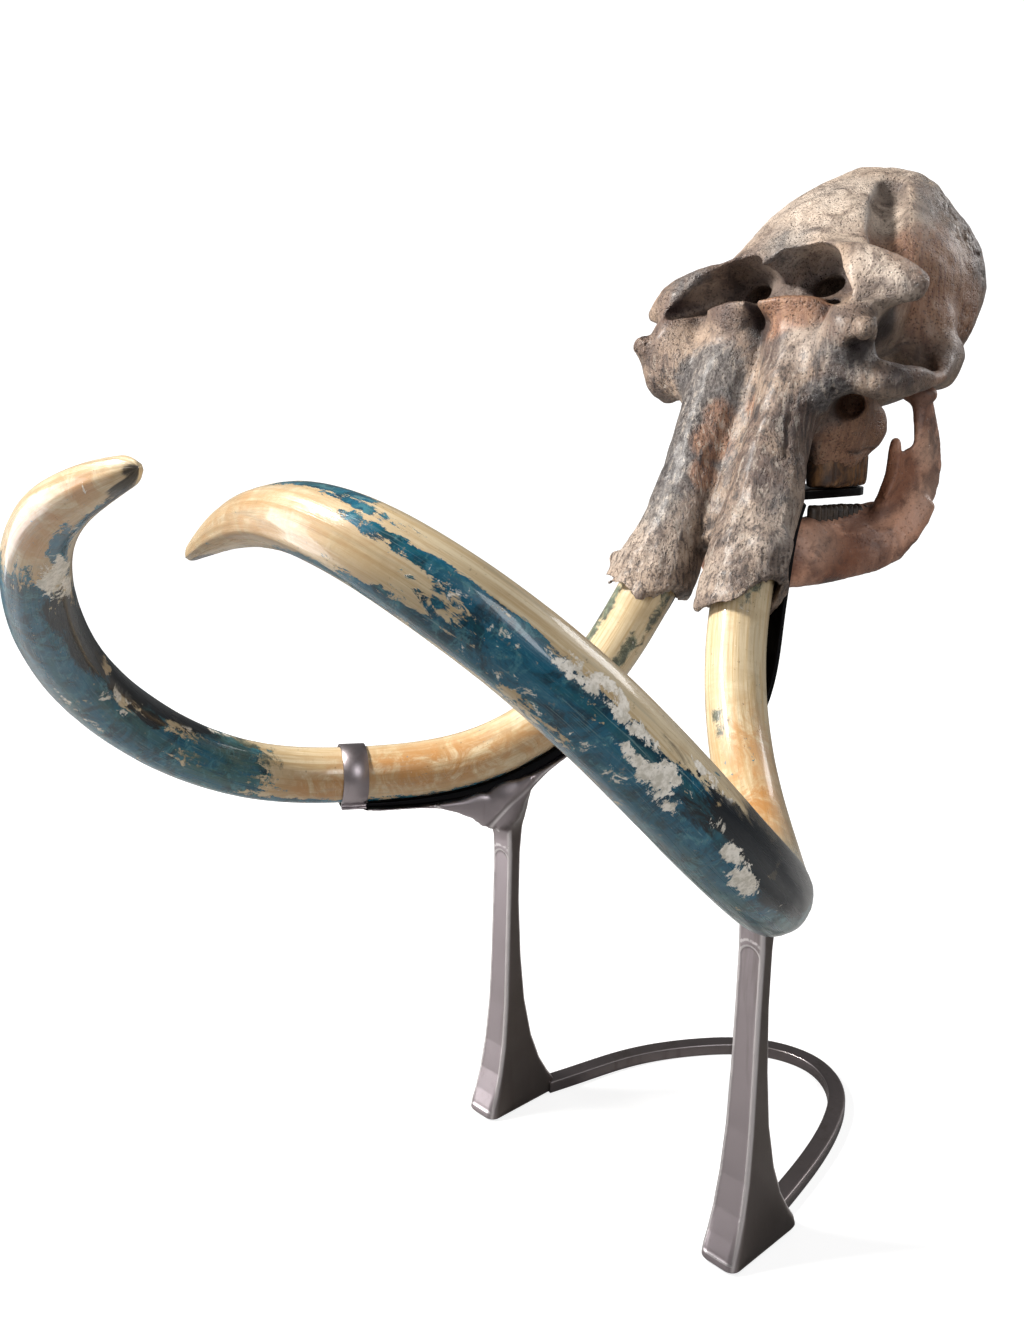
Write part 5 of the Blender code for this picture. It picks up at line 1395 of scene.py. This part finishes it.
def jawFinish():
    finish = Finish("jawBone")
    where = finish.place()
    tint = jawTints
    hollowShade, rust, paintedShade, pale, cracked = map(finish.painted, ("hollowShade", "rust", "paintedShade", "pale", "cracked"))
    broad = finish.noise(where, 9, 7, 0.62, 0.6)
    blotch = finish.noise(where, 32, 7, 0.66, 0.5)
    grain = finish.noise(where, 130, 5, 0.62)
    pits = finish.cells(where, 120).between(0.0, 0.35)
    colour = finish.mix(broad.between(0.36, 0.64), tint["tan"], tint["brown"])
    colour = finish.mix((rust * 0.8 + blotch - 0.62).between(0.0, 0.5) * 0.8, colour, tint["rust"])
    colour = finish.mix((pale * blotch * 1.3).clip(), colour, tint["pale"])
    colour = finish.mix((blotch.between(0.50, 0.66) * 0.40).clip(), colour, tint["blotch"])
    # painted shade on the underside and by the hinge, broken up by the blotches
    colour = finish.mix((paintedShade + blotch * 0.8 - 0.5).between(0.1, 0.7) * 0.8, colour, tint["paintedShade"])
    colour = finish.mix(((1.0 - pits) * 0.35).clip(), colour, tint["pit"])
    colour = finish.mix((cracked * 0.85).clip(), colour, tint["crack"])
    # painted shade in hollows and recesses
    colour = finish.mix((hollowShade * 1.2 - 0.2).clip(), colour, tint["hollowShade"])
    height = finish.bump(grain * 0.5 + blotch * 0.9, 0.0022)
    height = finish.bump(pits, 0.0010, height)
    finish.shade(colour, 0.30 + blotch * 0.26, normal=height)
    return finish


toothTints = {
    "amber": (0.230, 0.112, 0.045, 1), "brown": (0.055, 0.027, 0.015, 1), "furrow": (0.030, 0.020, 0.016, 1),
    "grain": (0.045, 0.030, 0.024, 1), "wornLight": (0.060, 0.044, 0.032, 1),
    "wornDark": (0.018, 0.014, 0.012, 1),
}


def toothFinish(name, worn):
    finish = Finish(name)
    where = finish.place()
    tint = toothTints
    furrow = finish.painted("furrow")
    cloud = finish.noise(where, 26, 7, 0.64, 0.5)
    grain = finish.noise(finish.stretched(where, (1.0, 1.0, 0.25)), 190, 5, 0.6)
    colour = finish.mix(cloud.between(0.36, 0.62), tint["amber"], tint["brown"])
    colour = finish.mix((furrow.between(0.45, 1.0) * (0.30 + worn * 0.6)).clip(), colour, tint["furrow"])
    colour = finish.mix((grain.between(0.52, 0.70) * 0.5).clip(), colour, tint["grain"])
    darkened = finish.mix(cloud.between(0.40, 0.62), tint["wornLight"], tint["wornDark"])
    colour = finish.mix(worn, colour, darkened)
    finish.shade(colour, 0.42 + cloud * 0.2, normal=finish.bump(grain + cloud, 0.0014))
    return finish


ivoryTints = {
    "ivory": (0.66, 0.55, 0.37, 1), "tan": (0.47, 0.335, 0.175, 1), "orange": (0.43, 0.215, 0.075, 1),
    "band": (0.42, 0.29, 0.15, 1), "fineLine": (0.26, 0.160, 0.075, 1), "cloud": (0.33, 0.31, 0.235, 1),
    "speck": (0.090, 0.060, 0.036, 1), "mossLight": (0.070, 0.130, 0.105, 1),
    "mossDark": (0.010, 0.035, 0.034, 1), "deepDark": (0.003, 0.028, 0.048, 1),
    "deepBlue": (0.007, 0.105, 0.175, 1), "teal": (0.010, 0.100, 0.125, 1),
    "mottleBlue": (0.090, 0.240, 0.290, 1), "deepMoss": (0.055, 0.125, 0.112, 1),
    "fleckBlue": (0.090, 0.260, 0.290, 1), "lineBlue": (0.24, 0.36, 0.36, 1),
    "bareSpeck": (0.30, 0.25, 0.17, 1), "night": (0.001, 0.003, 0.006, 1), "chalkLight": (0.90, 0.84, 0.75, 1),
    "chalkDark": (0.60, 0.55, 0.46, 1), "nightRim": (0.003, 0.006, 0.010, 1),
}


def ivoryFinish():
    finish = Finish("oldIvory")
    grain = finish.node("ShaderNodeAttribute", {"attribute_name": "grain"}, out="Vector")
    where = finish.place()
    tint = ivoryTints
    blue, night, chalk = map(finish.painted, ("blue", "night", "chalk"))
    cream, warm, moss = map(finish.painted, ("cream", "warm", "moss"))
    fine = finish.noise(finish.stretched(grain, (11.0, 17, 17)), 1.0, 8, 0.72, 0.8)
    streak = finish.noise(finish.stretched(grain, (3.4, 5.5, 5.5)), 1.0, 8, 0.70, 0.9)
    cloud = finish.noise(finish.stretched(grain, (6.0, 2.6, 2.6)), 1.0, 7, 0.66, 0.8)
    ragged = finish.noise(finish.stretched(grain, (16.0, 3.4, 3.4)), 1.0, 10, 0.76, 1.0)
    bands = finish.noise(finish.stretched(grain, (24.0, 0.5, 0.5)), 1.0, 4, 0.6, 0.2)
    mottle = finish.noise(where, 15, 9, 0.74, 0.9)
    speckle = finish.noise(where, 95, 6, 0.72)
    flecks = finish.noise(where, 42, 8, 0.75, 0.6)
    colour = finish.mix(streak.between(0.38, 0.66), tint["ivory"], tint["tan"])
    colour = finish.mix((warm * mottle.between(0.34, 0.58) * 0.9).clip(), colour, tint["orange"])
    colour = finish.mix((bands.between(0.50, 0.64) * 0.30).clip(), colour, tint["band"])
    colour = finish.mix((fine.between(0.54, 0.70) * 0.42).clip(), colour, tint["fineLine"])
    colour = finish.mix((cloud.between(0.54, 0.72) * 0.45).clip(), colour, tint["cloud"])
    colour = finish.mix((speckle.between(0.62, 0.70) * 0.6).clip(), colour, tint["speck"])
    mossy = finish.mix(flecks.between(0.42, 0.60), tint["mossLight"], tint["mossDark"])
    colour = finish.mix((moss + flecks * 1.6 + mottle - 1.78).between(-0.05, 0.30) * 0.85, colour, mossy)
    deep = finish.mix(mottle.between(0.40, 0.56), tint["deepDark"], tint["deepBlue"])
    deep = finish.mix((cloud.between(0.50, 0.64) * 0.6).clip(), deep, tint["teal"])
    deep = finish.mix((mottle.between(0.56, 0.70) * 0.55).clip(), deep, tint["mottleBlue"])
    deep = finish.mix((moss * cloud.between(0.35, 0.60)).clip(), deep, tint["deepMoss"])
    deep = finish.mix((flecks.between(0.52, 0.62) * 0.55).clip(), deep, tint["fleckBlue"])
    deep = finish.mix((fine.between(0.56, 0.68) * 0.55).clip(), deep, tint["lineBlue"])
    deep = finish.mix((speckle.between(0.60, 0.68) * mottle.between(0.42, 0.62) * 0.8).clip(), deep,
                      tint["bareSpeck"])
    deep = finish.mix((night * 1.1 + ragged * 1.6 - 1.15).between(0.05, 0.35) * 0.97, deep, tint["night"])
    edge = (blue + ragged * 2.6 + flecks * 1.6 - 2.55 - cream).between(-0.02, 0.06)
    colour = finish.mix(edge, colour, deep)
    flaked = (chalk * 0.75 + mottle * 2.6 + flecks * 1.5 - 2.58).between(0.0, 0.08)
    pale = finish.mix(speckle.between(0.40, 0.62), tint["chalkLight"], tint["chalkDark"])
    colour = finish.mix(flaked * 0.95, colour, pale)
    dark = (night + ragged * 0.8 - 1.05).between(0.05, 0.25) * 0.9
    colour = finish.mix(dark, colour, tint["nightRim"])
    height = finish.bump(fine * 0.35 + streak * 0.4 - flaked * 0.15 + edge * 0.12, 0.0010)
    rough = 0.22 + streak * 0.12 + flaked * 0.25
    finish.shade(colour, rough, normal=height, coat=0.45 - flaked * 0.35,
                 fixed={"Coat Roughness": 0.08, "Specular IOR Level": 0.3})
    return finish


# light and dark are the lit and shaded tones of one metal, mixed by the painted light share; dark is also the
# tone of the smears. Shine is the colour of painted highlights.
metals = {
    "satinBronze": {"light": (0.34, 0.30, 0.315, 1), "dark": (0.115, 0.096, 0.085, 1),
                    "shine": (0.72, 0.68, 0.69, 1), "roughness": 0.26},
    "blackSteel": {"light": (0.022, 0.022, 0.024, 1), "dark": (0.010, 0.010, 0.011, 1),
                   "shine": (0.20, 0.20, 0.21, 1), "roughness": 0.22},
}


def metalFinish(name):
    finish = Finish(name)
    where = finish.place()
    metal = metals[name]
    edge, paintedLight = map(finish.painted, ("edge", "paintedLight"))
    cloud = finish.noise(where, 3.5, 5, 0.55, 0.3)
    smear = finish.noise(finish.stretched(where, (16, 16, 1.6)), 1.0, 6, 0.62, 0.4)
    grain = finish.noise(where, 210, 4, 0.6)
    # painted light: the lit tone where the painted share is high, the shaded tone elsewhere
    colour = finish.mix((paintedLight + cloud * 0.5 - 0.25).clip(), metal["dark"], metal["light"])
    colour = finish.mix((smear.between(0.52, 0.70) * 0.5).clip(), colour, metal["dark"])
    # painted highlights where the edge share is high
    colour = finish.mix((edge.between(0.56, 0.80) * 0.8).clip(), colour, metal["shine"])
    rough = smear * 0.16 + grain * 0.10 + metal["roughness"] - edge.between(0.56, 0.80) * 0.08
    finish.shade(colour, rough, metallic=1.0, normal=finish.bump(grain * 0.3 + smear * 0.4, 0.0005))
    return finish


# putting it together

makeCamera()
makeStudio()
print("camera and studio stand")
bone, jawBone, ivory = boneFinish(), jawFinish(), ivoryFinish()
enamel = {"upper": toothFinish("agedEnamel", 0.0), "lower": toothFinish("wornEnamel", 0.9)}
bronze, blackSteel = metalFinish("satinBronze"), metalFinish("blackSteel")
makeCranium(bone)
print("cranium shaped")
makeMandible(jawBone)
print("mandible shaped")
for side in ("left", "right"):
    makeTusk(side, ivory)
    for jaw in ("upper", "lower"):
        makeMolar(jaw, side, enamel[jaw])
print("tusks and teeth made")
for side in ("left", "right"):
    makeLeg(side, bronze)
    makeBar(side, blackSteel)
makeClamp(bronze)
makeBow(bronze)
makePlate(blackSteel)
makeStrut(blackSteel)
print("stand made")
